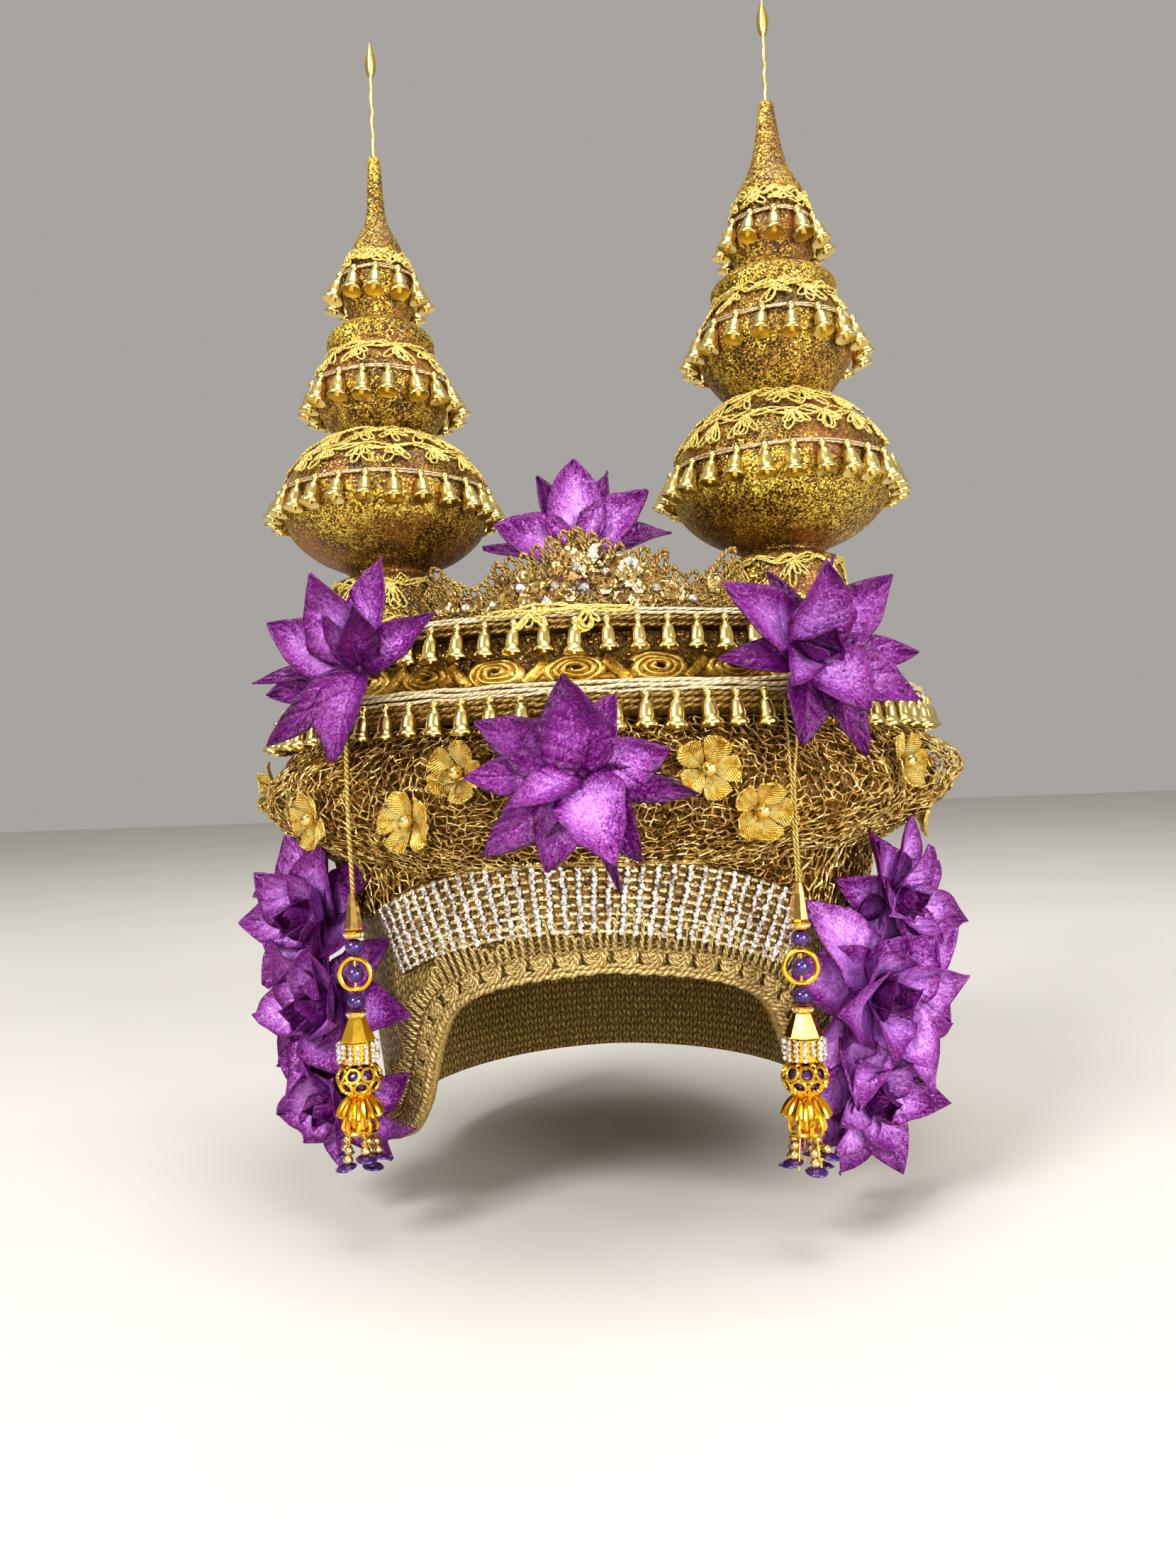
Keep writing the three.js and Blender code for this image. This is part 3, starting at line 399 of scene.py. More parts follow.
def mixColour(tree, share, a, b):
    node = add(tree, 'Mix', data_type='RGBA')
    # sockets 0, 6 and 7 are this node's share and its two colours
    for socket, value in ((node.inputs[0], share), (node.inputs[6], a), (node.inputs[7], b)):
        if isinstance(value, tuple):
            socket.default_value = (*value, 1)
        else:
            tree.links.new(value, socket)
    return node.outputs[2]


def objectPlace(tree):
    return add(tree, 'TexCoord').outputs['Object']


def ownMap(tree):
    # the piece's own map, and its x and y
    place = add(tree, 'UVMap').outputs[0]
    split = add(tree, 'SeparateXYZ')
    plug(tree, split, Vector=place)
    return place, split.outputs['X'], split.outputs['Y']


def useGroup(tree, group, **values):
    node = tree.nodes.new('ShaderNodeGroup')
    node.node_tree = group
    for key, value in values.items():
        node.inputs[key].default_value = value
    return node


def newFinish(name, **sockets):
    material = bpy.data.materials.new(name)
    material.use_nodes = True
    tree = material.node_tree
    shader = tree.nodes['Principled BSDF']
    for label, value in sockets.items():
        shader.inputs[label.replace('_', ' ')].default_value = value
    return material, tree, shader


def noiseAt(tree, scale, detail=3.0, vector=None):
    node = add(tree, 'TexNoise', {'Scale': scale, 'Detail': detail})
    plug(tree, node, Vector=vector or objectPlace(tree))
    return node.outputs[0]


def bumpTo(tree, shader, height, distance, strength=1.0, base=None):
    node = add(tree, 'Bump', {'Distance': distance, 'Strength': strength})
    plug(tree, node, Height=height)
    if base:
        plug(tree, node, Normal=base)
    plug(tree, shader, Normal=node.outputs[0])


def tintOf(tree):
    return add(tree, 'Attribute', attribute_name='tint').outputs['Fac']


# Patterns that several finishes share


def makeGlitterGroup():
    # flakes of foil: a random value each, a mask of the bright ones and a tilted normal
    group, given, out = newGroup('foilFlakes', {'Scale': 2000.0, 'Tilt': 0.5, 'Share': 0.4},
                                 {'Flake': 'Float', 'Bright': 'Float', 'Normal': 'Vector'})
    flakes = add(group, 'TexVoronoi', voronoi_dimensions='3D', feature='F1')
    plug(group, flakes, Vector=objectPlace(group), Scale=given.outputs['Scale'])
    split = add(group, 'SeparateColor')
    plug(group, split, Color=flakes.outputs['Color'])
    bright = calc(group, 'LESS_THAN', split.outputs['Green'], given.outputs['Share'])
    centred = add(group, 'VectorMath', {1: (0.5, 0.5, 0.5)}, operation='SUBTRACT')
    group.links.new(flakes.outputs['Color'], centred.inputs[0])
    scaled = add(group, 'VectorMath', operation='SCALE')
    group.links.new(centred.outputs[0], scaled.inputs[0])
    plug(group, scaled, Scale=given.outputs['Tilt'])
    summed = add(group, 'VectorMath', operation='ADD')
    group.links.new(add(group, 'NewGeometry').outputs['Normal'], summed.inputs[0])
    group.links.new(scaled.outputs[0], summed.inputs[1])
    level = add(group, 'VectorMath', operation='NORMALIZE')
    group.links.new(summed.outputs[0], level.inputs[0])
    plug(group, out, Flake=split.outputs['Red'], Bright=bright, Normal=level.outputs[0])
    return group


def makeTwistGroup():
    # strands that wind round a cord: height, and painted shade in the grooves between strands
    group, given, out = newGroup('windingStrands', {'Turns': 300.0, 'Strands': 2.0},
                                 {'Height': 'Float', 'Stripe': 'Float'})
    place, along, around = ownMap(group)
    phase = weigh(group, (along, given.outputs['Turns']), (around, given.outputs['Strands']))
    wave = calc(group, 'SINE', times(group, calc(group, 'FRACT', phase), math.pi))
    plug(group, out, Height=wave, Stripe=calc(group, 'POWER', wave, 0.6))
    return group


def makeKnitGroup():
    # slanted stitches in columns, as coarse knit shows them
    group, given, out = newGroup('coarseStitches', {'Columns': 420.0, 'Rows': 520.0},
                                 {'Height': 'Float', 'Shade': 'Float'})
    place, x, y = ownMap(group)
    rough = noiseAt(group, 160.0, 2.0, place)
    across = weigh(group, (x, given.outputs['Columns']), (rough, 0.9))
    side = calc(group, 'PINGPONG', across, 0.5)
    down = weigh(group, (y, given.outputs['Rows']), (side, 1.2))
    row = calc(group, 'SINE', times(group, calc(group, 'FRACT', down), math.pi))
    column = calc(group, 'SINE', times(group, side, tau))
    height = times(group, row, calc(group, 'ABSOLUTE', column))
    plug(group, out, Height=height, Shade=calc(group, 'POWER', height, 0.5))
    return group


def makeVeinGroup():
    # a petal's midrib and side veins, from its own map: x across, y along; also a patch in its middle where
    # the painted highlight goes
    group, given, out = newGroup('petalVeins', {'Pairs': 6.0},
                                 {'Height': 'Float', 'Edge': 'Float', 'Middle': 'Float', 'Heart': 'Float'})
    place, x, y = ownMap(group)
    off = calc(group, 'ABSOLUTE', calc(group, 'SUBTRACT', x, 0.5))
    rib = lessBy(group, 1.0, off, 14.0, clamp=True)
    comb = calc(group, 'FRACT', times(group, lessBy(group, y, off, 0.55), given.outputs['Pairs']))
    vein = lessBy(group, 1.0, comb, 5.0, clamp=True)
    puff = calc(group, 'SINE', times(group, comb, math.pi))
    furrow = calc(group, 'MAXIMUM', rib, times(group, vein, 0.6))
    height = calc(group, 'SUBTRACT', times(group, puff, 0.7), furrow)
    edge = times(group, off, 2.0, clamp=True)
    middle = calc(group, 'MAXIMUM', rib, times(group, vein, 0.5))
    belly = calc(group, 'SUBTRACT', 1.0, calc(group, 'POWER', times(group, off, 2.0), 2.0), clamp=True)
    reach = calc(group, 'ABSOLUTE', calc(group, 'SUBTRACT', y, 0.36))
    heart = times(group, belly, lessBy(group, 1.0, reach, 2.1, clamp=True))
    plug(group, out, Height=height, Edge=edge, Middle=middle, Heart=heart)
    return group


glitterGroup = makeGlitterGroup()
twistGroup = makeTwistGroup()
knitGroup = makeKnitGroup()
veinGroup = makeVeinGroup()

# Finishes

paintLook = {
    'flakes': 1600.0, 'dust': 2800.0, 'streaks': 200.0, 'clouds': 55.0, 'patches': 40.0,
    'rust': (0.38, 0.135, 0.04),
    'tones': ((0.25, (0.012, 0.006, 0.002)), (0.47, (0.14, 0.05, 0.008)), (0.65, (0.4, 0.212, 0.02)),
              (0.85, (0.64, 0.48, 0.042)), (1.0, (0.92, 0.83, 0.22))),
}


def gildedPaint(look):
    # gold glitter brushed over dark brown, rust in patches, streaked downwards; each point's tint adds
    # painted light, brighter on lit shoulders, and painted shade below, where the rust shows most
    material, tree, shader = newFinish('gildedPaint', Specular_IOR_Level=0.5)
    flakes = useGroup(tree, glitterGroup, Scale=look['flakes'], Tilt=0.6, Share=0.5)
    dust = useGroup(tree, glitterGroup, Scale=look['dust'], Tilt=0.8, Share=0.5)
    stretched = add(tree, 'Mapping', {'Scale': (1, 1, 0.12)})
    plug(tree, stretched, Vector=objectPlace(tree))
    streaks = noiseAt(tree, look['streaks'], 2.0, stretched.outputs[0])
    # the tint holds how much gold lies there together with painted light and painted shade
    lit = tintOf(tree)
    amount = weigh(tree, (noiseAt(tree, look['clouds'], 4.0), 0.75), (streaks, 0.45), (lit, 0.2))
    grain = weigh(tree, (flakes.outputs['Flake'], 0.7), (dust.outputs['Flake'], 0.5))
    amount = calc(tree, 'ADD', amount, calc(tree, 'SUBTRACT', grain, 0.72))
    colour = ramp(tree, amount, look['tones'])
    cloud = times(tree, noiseAt(tree, look['patches'], 2.0), 3.4)
    patch = calc(tree, 'SUBTRACT', cloud, 1.45, clamp=True)
    rust = mixColour(tree, times(tree, patch, 0.6), colour, look['rust'])
    # rust is shown only where the tint is low, so it lies in the painted shade
    rustInShade = mixColour(tree, times(tree, lit, 1.6, clamp=True), rust, colour)
    plug(tree, shader, Base_Color=rustInShade, Metallic=times(tree, amount, 0.8, clamp=True),
         Roughness=lessBy(tree, 0.58, flakes.outputs['Bright'], 0.3))
    bumpTo(tree, shader, dust.outputs['Flake'], 0.25 * mm, 0.5, flakes.outputs['Normal'])
    return material


def polishedGold(name, colour, roughness, variety=0.12):
    # plated metal, each copy a little lighter or darker, with faint rubbing
    material, tree, shader = newFinish(name, Metallic=1.0)
    dark = tuple(c * (1 - variety * 1.6) for c in colour)
    rub = noiseAt(tree, 520.0, 2.0)
    share = weigh(tree, (tintOf(tree), 0.6), (rub, 0.4))
    plug(tree, shader, Base_Color=mixColour(tree, share, dark, colour),
         Roughness=calc(tree, 'ADD', roughness, times(tree, rub, 0.12)))
    bumpTo(tree, shader, rub, 0.03 * mm, 0.15)
    return material


def woundYarn(name, dark, light, turns, strands=2.0, metallic=0.55, roughness=0.38):
    # shiny thread wound into a cord, with flecks of foil in it and painted shade in the grooves between its
    # strands
    material, tree, shader = newFinish(name, Metallic=metallic)
    twist = useGroup(tree, twistGroup, Turns=turns, Strands=strands)
    flakes = useGroup(tree, glitterGroup, Scale=2600.0, Tilt=0.55, Share=0.3)
    fleck = weigh(tree, (flakes.outputs['Flake'], 0.7), (tintOf(tree), 0.5))
    share = times(tree, twist.outputs['Stripe'], fleck)
    plug(tree, shader, Base_Color=mixColour(tree, share, dark, light),
         Roughness=lessBy(tree, roughness + 0.12, flakes.outputs['Bright'], 0.2))
    bumpTo(tree, shader, twist.outputs['Height'], 0.5 * mm, 0.8, flakes.outputs['Normal'])
    return material


def foilCloth(name, dark, light, scale, tilt=0.6, metallic=0.6, share=0.35, gloss=0.3):
    # cloth with foil thread in it: dark ground, bright flecks
    material, tree, shader = newFinish(name, Metallic=metallic)
    flakes = useGroup(tree, glitterGroup, Scale=scale, Tilt=tilt, Share=share)
    amount = weigh(tree, (flakes.outputs['Flake'], 0.75), (noiseAt(tree, 90.0, 3.0), 0.5))
    amount = calc(tree, 'SUBTRACT', amount, 0.15, clamp=True)
    plug(tree, shader, Base_Color=mixColour(tree, amount, dark, light),
         Roughness=lessBy(tree, 0.5, flakes.outputs['Bright'], gloss))
    bumpTo(tree, shader, flakes.outputs['Flake'], 0.3 * mm, 0.5, flakes.outputs['Normal'])
    return material


def knitCloth(name, dark, light):
    # coarse stitches with foil thread in them
    material, tree, shader = newFinish(name, Metallic=0.4)
    knit = useGroup(tree, knitGroup, Columns=210.0, Rows=260.0)
    flakes = useGroup(tree, glitterGroup, Scale=1900.0, Tilt=0.5, Share=0.3)
    fleck = calc(tree, 'ADD', 0.25, times(tree, flakes.outputs['Flake'], 0.8))
    share = times(tree, knit.outputs['Shade'], fleck)
    plug(tree, shader, Base_Color=mixColour(tree, share, dark, light),
         Roughness=lessBy(tree, 0.6, flakes.outputs['Bright'], 0.25))
    bumpTo(tree, shader, knit.outputs['Height'], 1.2 * mm, 0.9, flakes.outputs['Normal'])
    return material


clothLooks = {
    # tones from edge to heart, the last the colour of its painted highlight, then how the cloth shines, is
    # veined, woven and creased; heart is how strong the painted highlight is, petal how far each petal's
    # painted light shifts its tone
    'purplePetal': {'deep': (0.036, 0.002, 0.036), 'body': (0.175, 0.005, 0.18), 'shine': (0.58, 0.24, 0.72),
                    'roughness': 0.42, 'sheen': 0.1, 'pairs': 6.0, 'weave': 1500.0, 'tilt': 0.5, 'heart': 0.4,
                    'grain': 0.22, 'edge': 0.12, 'petal': 0.14, 'metal': 0.0, 'ribs': 0.6, 'crease': 0.6},
    'goldPetal': {'deep': (0.38, 0.18, 0.018), 'body': (1.0, 0.68, 0.13), 'shine': (1.0, 0.92, 0.5),
                  'roughness': 0.3, 'sheen': 0.0, 'pairs': 11.0, 'weave': 700.0, 'tilt': 0.35, 'heart': 0.3,
                  'grain': 0.26, 'edge': -0.1, 'petal': 0.1, 'metal': 0.45, 'ribs': 1.4, 'crease': 0.9},
    'satinRibbon': {'deep': (0.16, 0.068, 0.004), 'body': (0.46, 0.27, 0.034), 'shine': (0.84, 0.64, 0.2),
                    'roughness': 0.34, 'sheen': 0.0, 'pairs': 2.0, 'weave': 1200.0, 'tilt': 0.2, 'heart': 0.3,
                    'grain': 0.2, 'edge': 0.0, 'petal': 0.0, 'metal': 0.5, 'ribs': 0.1, 'crease': 0.1},
}


def petalCloth(name):
    # shimmering cloth: deep at its edges and tip, with a painted highlight in its heart and painted light
    # that differs petal by petal
    look = clothLooks[name]
    material, tree, shader = newFinish(name, Roughness=look['roughness'], Sheen_Weight=look['sheen'],
                                       Sheen_Roughness=0.4, Sheen_Tint=(*look['shine'], 1))
    veins = useGroup(tree, veinGroup, Pairs=look['pairs'])
    weave = useGroup(tree, glitterGroup, Scale=look['weave'], Tilt=look['tilt'], Share=0.35)
    thread = useGroup(tree, glitterGroup, Scale=look['weave'] * 2.3, Tilt=0.5, Share=0.35)
    tint = tintOf(tree)
    # each petal's tint is its painted light: it makes the painted highlight stronger and the whole petal
    # lighter or darker
    glow = calc(tree, 'ADD', 0.35, times(tree, tint, 0.9))
    heart = times(tree, veins.outputs['Heart'], glow)
    rim = calc(tree, 'POWER', veins.outputs['Edge'], 3.0)
    light = weigh(tree, (noiseAt(tree, 85.0, 3.0), 0.45), (heart, look['heart']),
                  (weave.outputs['Flake'], look['grain']), (thread.outputs['Flake'], look['grain']),
                  (rim, -look['edge']), (veins.outputs['Middle'], 0.06),
                  (calc(tree, 'SUBTRACT', tint, 0.5), look['petal']))
    colour = ramp(tree, light, ((0.2, look['deep']), (0.55, look['body']), (1.0, look['shine'])))
    foil = calc(tree, 'ADD', look['metal'], times(tree, weave.outputs['Bright'], 0.5), clamp=True)
    plug(tree, shader, Base_Color=colour, Metallic=foil)
    ribs = times(tree, veins.outputs['Height'], look['ribs'])
    creases = calc(tree, 'ADD', ribs, noiseAt(tree, 330.0, 4.0))
    bumpTo(tree, shader, creases, 1.0 * mm, look['crease'], weave.outputs['Normal'])
    return material


def facetedGlass(name, dark, light):
    # foiled stones: each copy painted lighter or darker, a painted reflection of how its facets catch the
    # light
    material, tree, shader = newFinish(name, Metallic=0.85, Coat_Weight=0.6, Coat_Roughness=0.03)
    split = useGroup(tree, glitterGroup, Scale=900.0, Tilt=0.5, Share=0.4)
    share = weigh(tree, (tintOf(tree), 0.5), (split.outputs['Flake'], 0.6))
    plug(tree, shader, Base_Color=mixColour(tree, share, dark, light), Normal=split.outputs['Normal'],
         Roughness=calc(tree, 'ADD', 0.06, times(tree, split.outputs['Flake'], 0.12)))
    return material


def pearlCoat(name, deep, glow):
    # metallic pearl: a deep body under a clear coat, with a faint drift of tone
    material, tree, shader = newFinish(name, Metallic=0.55, Coat_Weight=0.8, Coat_Roughness=0.06)
    drift = noiseAt(tree, 240.0, 2.0)
    share = weigh(tree, (drift, 0.6), (tintOf(tree), 0.3))
    plug(tree, shader, Base_Color=mixColour(tree, share, deep, glow),
         Roughness=calc(tree, 'ADD', 0.16, times(tree, drift, 0.14)))
    return material


finishes = {
    'paint': gildedPaint(paintLook),
    'bell': polishedGold('bellGold', (0.9, 0.7, 0.25), 0.17),
    'bright': polishedGold('beadGold', (0.94, 0.58, 0.06), 0.16),
    'champagne': polishedGold('champagneBead', (0.78, 0.5, 0.18), 0.1),
    'paleBead': polishedGold('paleGoldBead', (0.76, 0.58, 0.26), 0.2),
    'silverYarn': woundYarn('silverYarn', (0.42, 0.28, 0.12), (1.0, 0.92, 0.66), 300.0, 2.0, 0.3, 0.36),
    'edgeYarn': woundYarn('edgeYarn', (0.06, 0.028, 0.004), (0.62, 0.4, 0.11), 300.0, 2.0, 0.5),
    'crestCord': woundYarn('crestCord', (0.085, 0.042, 0.005), (0.58, 0.385, 0.115), 520.0),
    'leafFoil': polishedGold('leafFoil', (0.98, 0.76, 0.24), 0.3),
    'cord': woundYarn('goldCord', (0.16, 0.085, 0.01), (0.92, 0.68, 0.2), 520.0),
    'scroll': woundYarn('scrollCord', (0.5, 0.3, 0.035), (1.0, 0.88, 0.32), 420.0, 1.0, 0.35, 0.3),
    'braid': woundYarn('braidYarn', (0.13, 0.072, 0.013), (0.9, 0.67, 0.28), 420.0, 2.0, 0.42),
    'lace': foilCloth('laceGold', (0.27, 0.115, 0.014), (1.0, 0.8, 0.32), 420.0, 1.1, 0.8, 0.5, 0.32),
    'crestLace': foilCloth('crestLace', (0.045, 0.021, 0.003), (0.62, 0.39, 0.085), 1300.0, 0.9, 0.5),
    'laceUnder': foilCloth('laceUnder', (0.12, 0.045, 0.005), (0.95, 0.56, 0.13), 420.0, 1.1, 0.75, 0.45),
    'laceShade': foilCloth('laceShade', (0.02, 0.008, 0.001), (0.36, 0.18, 0.03), 1300.0, 0.9, 0.45),
    'bronze': foilCloth('bronzeGlitter', (0.01, 0.005, 0.001), (0.3, 0.17, 0.03), 1500.0, 0.8, 0.5),
    'knit': knitCloth('foilKnit', (0.06, 0.03, 0.004), (1.0, 0.72, 0.22)),
    'purple': petalCloth('purplePetal'),
    'goldPetal': petalCloth('goldPetal'),
    'ribbon': petalCloth('satinRibbon'),
    'stone': facetedGlass('silverStone', (0.5, 0.46, 0.43), (1.0, 0.98, 0.95)),
    'goldStone': facetedGlass('goldStone', (0.55, 0.37, 0.1), (1.0, 0.88, 0.52)),
    'sequin': facetedGlass('goldSequin', (0.14, 0.072, 0.012), (0.76, 0.53, 0.19)),
    'violet': pearlCoat('violetPearl', (0.03, 0.008, 0.09), (0.12, 0.045, 0.27)),
}
print('finishes made:', len(finishes))

# Boards, riser and the yarn wound on their edges

boards = {
    # half width and depth, middle, and rows of height and inset
    'brim': {'wide': 130, 'deep': 123, 'centreX': 0,
             'rows': ((3.3, -4), (4.6, -1.6), (6.5, -0.3), (9, 0), (12, 0), (14, -0.9), (15, -3))},
    'riser': {'wide': 108, 'deep': 93, 'centreX': -4,
              'rows': ((15.3, 0), (20, 0.3), (28, 0.2), (33.7, 0))},
    'tier': {'wide': 114, 'deep': 99, 'centreX': -4,
             'rows': ((34, -4), (35, -1.4), (36, -0.2), (39.2, 0), (40.4, -0.8), (41, -2))},
}
boardSides = 160


def makeBoard(board):
    rows = [(z, board['wide'] + inset, board['deep'] + inset) for z, inset in board['rows']]
    return stacked(rows, boardSides, (board['centreX'], 0))


def onBoard(board, angle, z, lift=0.0):
    return onOval(board['wide'], board['deep'], angle, z, lift, board['centreX'])


def ringStops(board, lift, z, wobble, seed, count=200):
    # a line round a board's edge, with a little sway of its own
    stops = []
    for i in range(count):
        angle = tau * i / count
        spot = Vector((math.sin(angle) * 14, math.cos(angle) * 14, 0))
        sway = noise.noise(spot + up * seed * 7.7)
        rise = noise.noise(spot + up * (seed * 3.1 + 50))
        place, out = onBoard(board, angle, z, lift + sway * wobble)
        stops.append((place + up * rise * wobble, out))
    return stops


wear(makeBoard(boards['brim']), 'brimBoard', 'bronze', ['lower_brim'])
wear(makeBoard(boards['riser']), 'riserWall', 'bronze', ['tier_riser'])
wear(makeBoard(boards['tier']), 'tierBoard', 'bronze', ['upper_tier'])

edgeYarns = {
    # finish and seed of each tone, then board, lift off its edge, height, thickness, wobble
    'silver': {'finish': 'silverYarn', 'seed': 3, 'rows': (
        ('brim', 0.5, 13.9, 0.7, 0.8), ('brim', 0.8, 12.4, 0.75, 0.8), ('brim', 0.9, 11.0, 0.6, 0.9),
        ('tier', 0.5, 40.1, 0.55, 0.6), ('tier', 0.8, 38.9, 0.6, 0.6))},
    'gold': {'finish': 'edgeYarn', 'seed': 20, 'rows': (
        ('brim', 0.2, 9.4, 0.9, 0.6), ('brim', 0.1, 7.6, 0.9, 0.6), ('brim', -0.8, 5.6, 0.9, 0.6),
        ('tier', 0.3, 37.3, 0.8, 0.5), ('tier', -0.9, 35.4, 0.8, 0.5))},
}
for tone, yarn in edgeYarns.items():
    yarns = newParts()
    for number, (board, lift, z, thickness, wobble) in enumerate(yarn['rows']):
        stops = ringStops(boards[board], lift, z, wobble, number + yarn['seed'])
        layCord(yarns, stops, thickness, 7, True, 0.3 + 0.1 * number)
    wear(pieceFrom(yarns), tone + 'EdgeYarn', yarn['finish'])
print('boards done')

# Spires: what each turned piece is like

spireX = {'left': -86, 'right': 78}
spireY = -10
spireSides = 72
spires = {
    # rows: height and radius; gilding and painted shade: height and how much gold lies there, with painted
    # light on the shoulders and cones and painted shade under the bell strings, under the scrolls and in the
    # neck;
    # scrolls: height of a border of cord, foot of the knots below it, knots round, strands in the border
    'left_spire_bowl': {
        'rows': ((41.3, 25), (44, 25.6), (56, 23.6), (66, 22.4), (69, 22.2), (71, 17.5), (73, 16.5),
                 (75, 19.5), (80, 30), (88, 39), (97, 42.2), (107, 41.2), (113, 38.6), (118.5, 34.6),
                 (124, 28), (127.5, 22), (129.2, 17.8)),
        'gildingAndShade': ((41, -0.2), (68, -0.2), (70, -0.6), (76, -0.4), (83, 0.0), (91, 0.4), (96, 0.4),
                    (101, 0.1), (107, -0.4), (129, -0.3)),
        'scrolls': ((126.4, 118, 15, 6), (117, 109, 17, 4), (66.5, 55, 8, 5), (51, 44, 9, 3))},
    'left_spire_mid': {
        'rows': ((129.5, 17.4), (132.5, 21), (137, 24.4), (142, 26.6), (146.5, 27.6), (151, 27.2),
                 (156, 25.2), (160, 22.6), (162.5, 21.4), (165, 21.8), (168.5, 22.4), (171.5, 21.8),
                 (174.2, 19.4), (176.4, 15.6), (177.2, 13)),
        'gildingAndShade': ((129.5, 0.5), (136, 0.3), (142, 0.3), (147, -0.1), (153, -0.5), (163, -0.4),
                    (165.5, 0.4), (170, 0.75), (177, 0.9)),
        'scrolls': ((162, 153, 11, 6),)},
    'left_spire_top': {
        'rows': ((177.4, 12.6), (178.6, 13), (180, 12), (184, 13.6), (188, 14.6), (194, 14.7), (199, 13.8),
                 (203, 12.4), (207, 11.2), (212, 9.4), (217, 6.7), (221, 4.9), (226, 3.9), (236, 3.2),
                 (248.5, 2.5)),
        'gildingAndShade': ((177, 0.0), (188, 0.0), (196, -0.3), (204, -0.4), (206.5, 0.5), (215, 0.35), (226, 0.5),
                    (250, 0.6)),
        'scrolls': ((203.4, 198, 9, 5),)},
    'right_spire_bowl': {
        'rows': ((41.3, 25.5), (44, 26), (56, 24), (66, 22.8), (69, 22.6), (71, 18), (73, 17), (75, 20.5),
                 (80, 31), (88, 40), (97, 43.5), (107, 42.8), (113, 40.6), (119, 36.8), (126, 30),
                 (130.5, 24), (133.4, 18.8)),
        'gildingAndShade': ((41, -0.2), (68, -0.2), (70, -0.6), (76, 0.0), (83, 0.6), (91, 1.0), (96, 0.9),
                    (101, 0.3), (107, -0.3), (133, -0.2)),
        'scrolls': ((130.2, 120, 15, 6), (119, 109.8, 17, 4), (66.5, 55, 8, 5), (51, 44, 9, 3))},
    'right_spire_mid': {
        'rows': ((133.7, 18.4), (138.5, 23), (144, 27.2), (149.5, 30.2), (155, 31.2), (161, 30.4),
                 (166, 27.8), (170, 25.2), (173, 24.3), (176, 25), (179, 25.4), (181.5, 24.2), (183.6, 21),
                 (185, 17.4), (185.6, 16.8)),
        'gildingAndShade': ((133.7, 0.4), (141, 0.3), (150, 0.1), (157, -0.2), (163, -0.5), (173, -0.4),
                    (175.5, 0.2), (180, 0.35), (186, 0.6)),
        'scrolls': ((172.4, 163, 11, 6),)},
    'right_spire_top': {
        'rows': ((185.8, 16.4), (187, 16.9), (188.2, 15), (190, 14.8), (193, 16), (197, 16.8), (203, 16.4),
                 (209, 15.2), (214, 14.4), (217.5, 14), (221, 12.5), (226, 9.6), (232, 7.2), (240, 5.3),
                 (256, 3)),
        'gildingAndShade': ((186, 0.1), (190, 0.0), (200, -0.1), (206, -0.4), (215, -0.3), (217.5, 0.4),
                    (226, 0.25), (256, 0.45)),
        'scrolls': ((213.6, 207.6, 9, 5),)},
}
smoothRows = {node: smoothTable(spire['rows'], 5) for node, spire in spires.items()}


def onSpire(node, angle, z, lift=0.0):
    # a place on a turned piece, lifted off its skin, and the way out from it
    rows = smoothRows[node]
    slope = tableAt(rows, z + 0.5) - tableAt(rows, z - 0.5)
    around = bearing(angle)
    out = (around - up * slope).normalized()
    middle = Vector((spireX[node.split('_')[0]], spireY, z))
    return middle + around * tableAt(rows, z) + out * lift, out


# Bells: one modelled, copied along every string

bell = {
    'rows': ((-12.6, 0.5), (-12.5, 1.0), (-11.8, 1.1), (-12, 3.2), (-12.2, 3.75), (-11.6, 3.9), (-10.4, 3.3),
             (-10.2, 3.0), (-8.6, 2.8), (-6.6, 2.5), (-5.0, 2.1), (-4.2, 1.6), (-3.6, 0.9), (-2.9, 0.85),
             (-2.5, 1.25), (-1.6, 1.5), (-0.7, 1.25), (-0.1, 0.4)),  # clapper, lip, wall, crown and loop
    'sides': 12, 'sway': 0.07, 'crease': 50,
    'onBoard': {'lift': 2.6, 'lean': 1.4, 'fall': 12},
    'onSpire': {'lift': 2.0, 'gap': 4.2, 'fall': 11.5, 'size': 1.08},
}
boardBells = {
    # board, string height, bells round it, gap kept on each side of a drop's cord
    'lower_brim_bells': ('brim', 11.2, 84, 4.4), 'upper_tier_bells': ('tier', 38.4, 70, 0.0),
}
spireBells = {
    # string height, bells on it, turn of the first one in degrees
    'left_bowl_bells': (106, 26, 5), 'left_mid_bells': (151.5, 18, 0), 'left_top_bells': (197.5, 11, 12),
    'right_bowl_bells': (106, 27, 2), 'right_mid_bells': (161.5, 19, 7), 'right_top_bells': (206, 12, 0),
}
dropPlace = {'left': Vector((-79.5, -99.15, 0)), 'right': Vector((71, -104.75, 0))}
bellModel = turned(bell['rows'], bell['sides'])


def hungBell(top, lip, dice, size=1.0):
    # a bell from its loop towards where its lip hangs, a little askew
    sway = Vector((dice.uniform(-1, 1), dice.uniform(-1, 1), dice.uniform(-0.4, 0.4))) * bell['sway']
    axis = (top - lip).normalized() + sway
    turn = dice.uniform(0, tau)
    return standAt(top, axis, Vector((math.cos(turn), math.sin(turn), 0.2)), size * dice.uniform(0.95, 1.05))


def hangBells(name, node, places, dice):
    bells = smoothByAngle(copiesOf(bellModel, places, dice), bell['crease'])
    wear(bells, name, 'bell', [node])


for node, (board, z, count, gap) in boardBells.items():
    dice = random.Random(count)
    hang = bell['onBoard']
    places = []
    for i in range(count):
        top, out = onBoard(boards[board], tau * (i + 0.5) / count, z, hang['lift'])
        if top.y < 0 and min(abs(top.x - place.x) for place in dropPlace.values()) < gap:
            continue
        places.append(hungBell(top, top + out * hang['lean'] - up * hang['fall'], dice))
    hangBells(joined(node), node, places, dice)

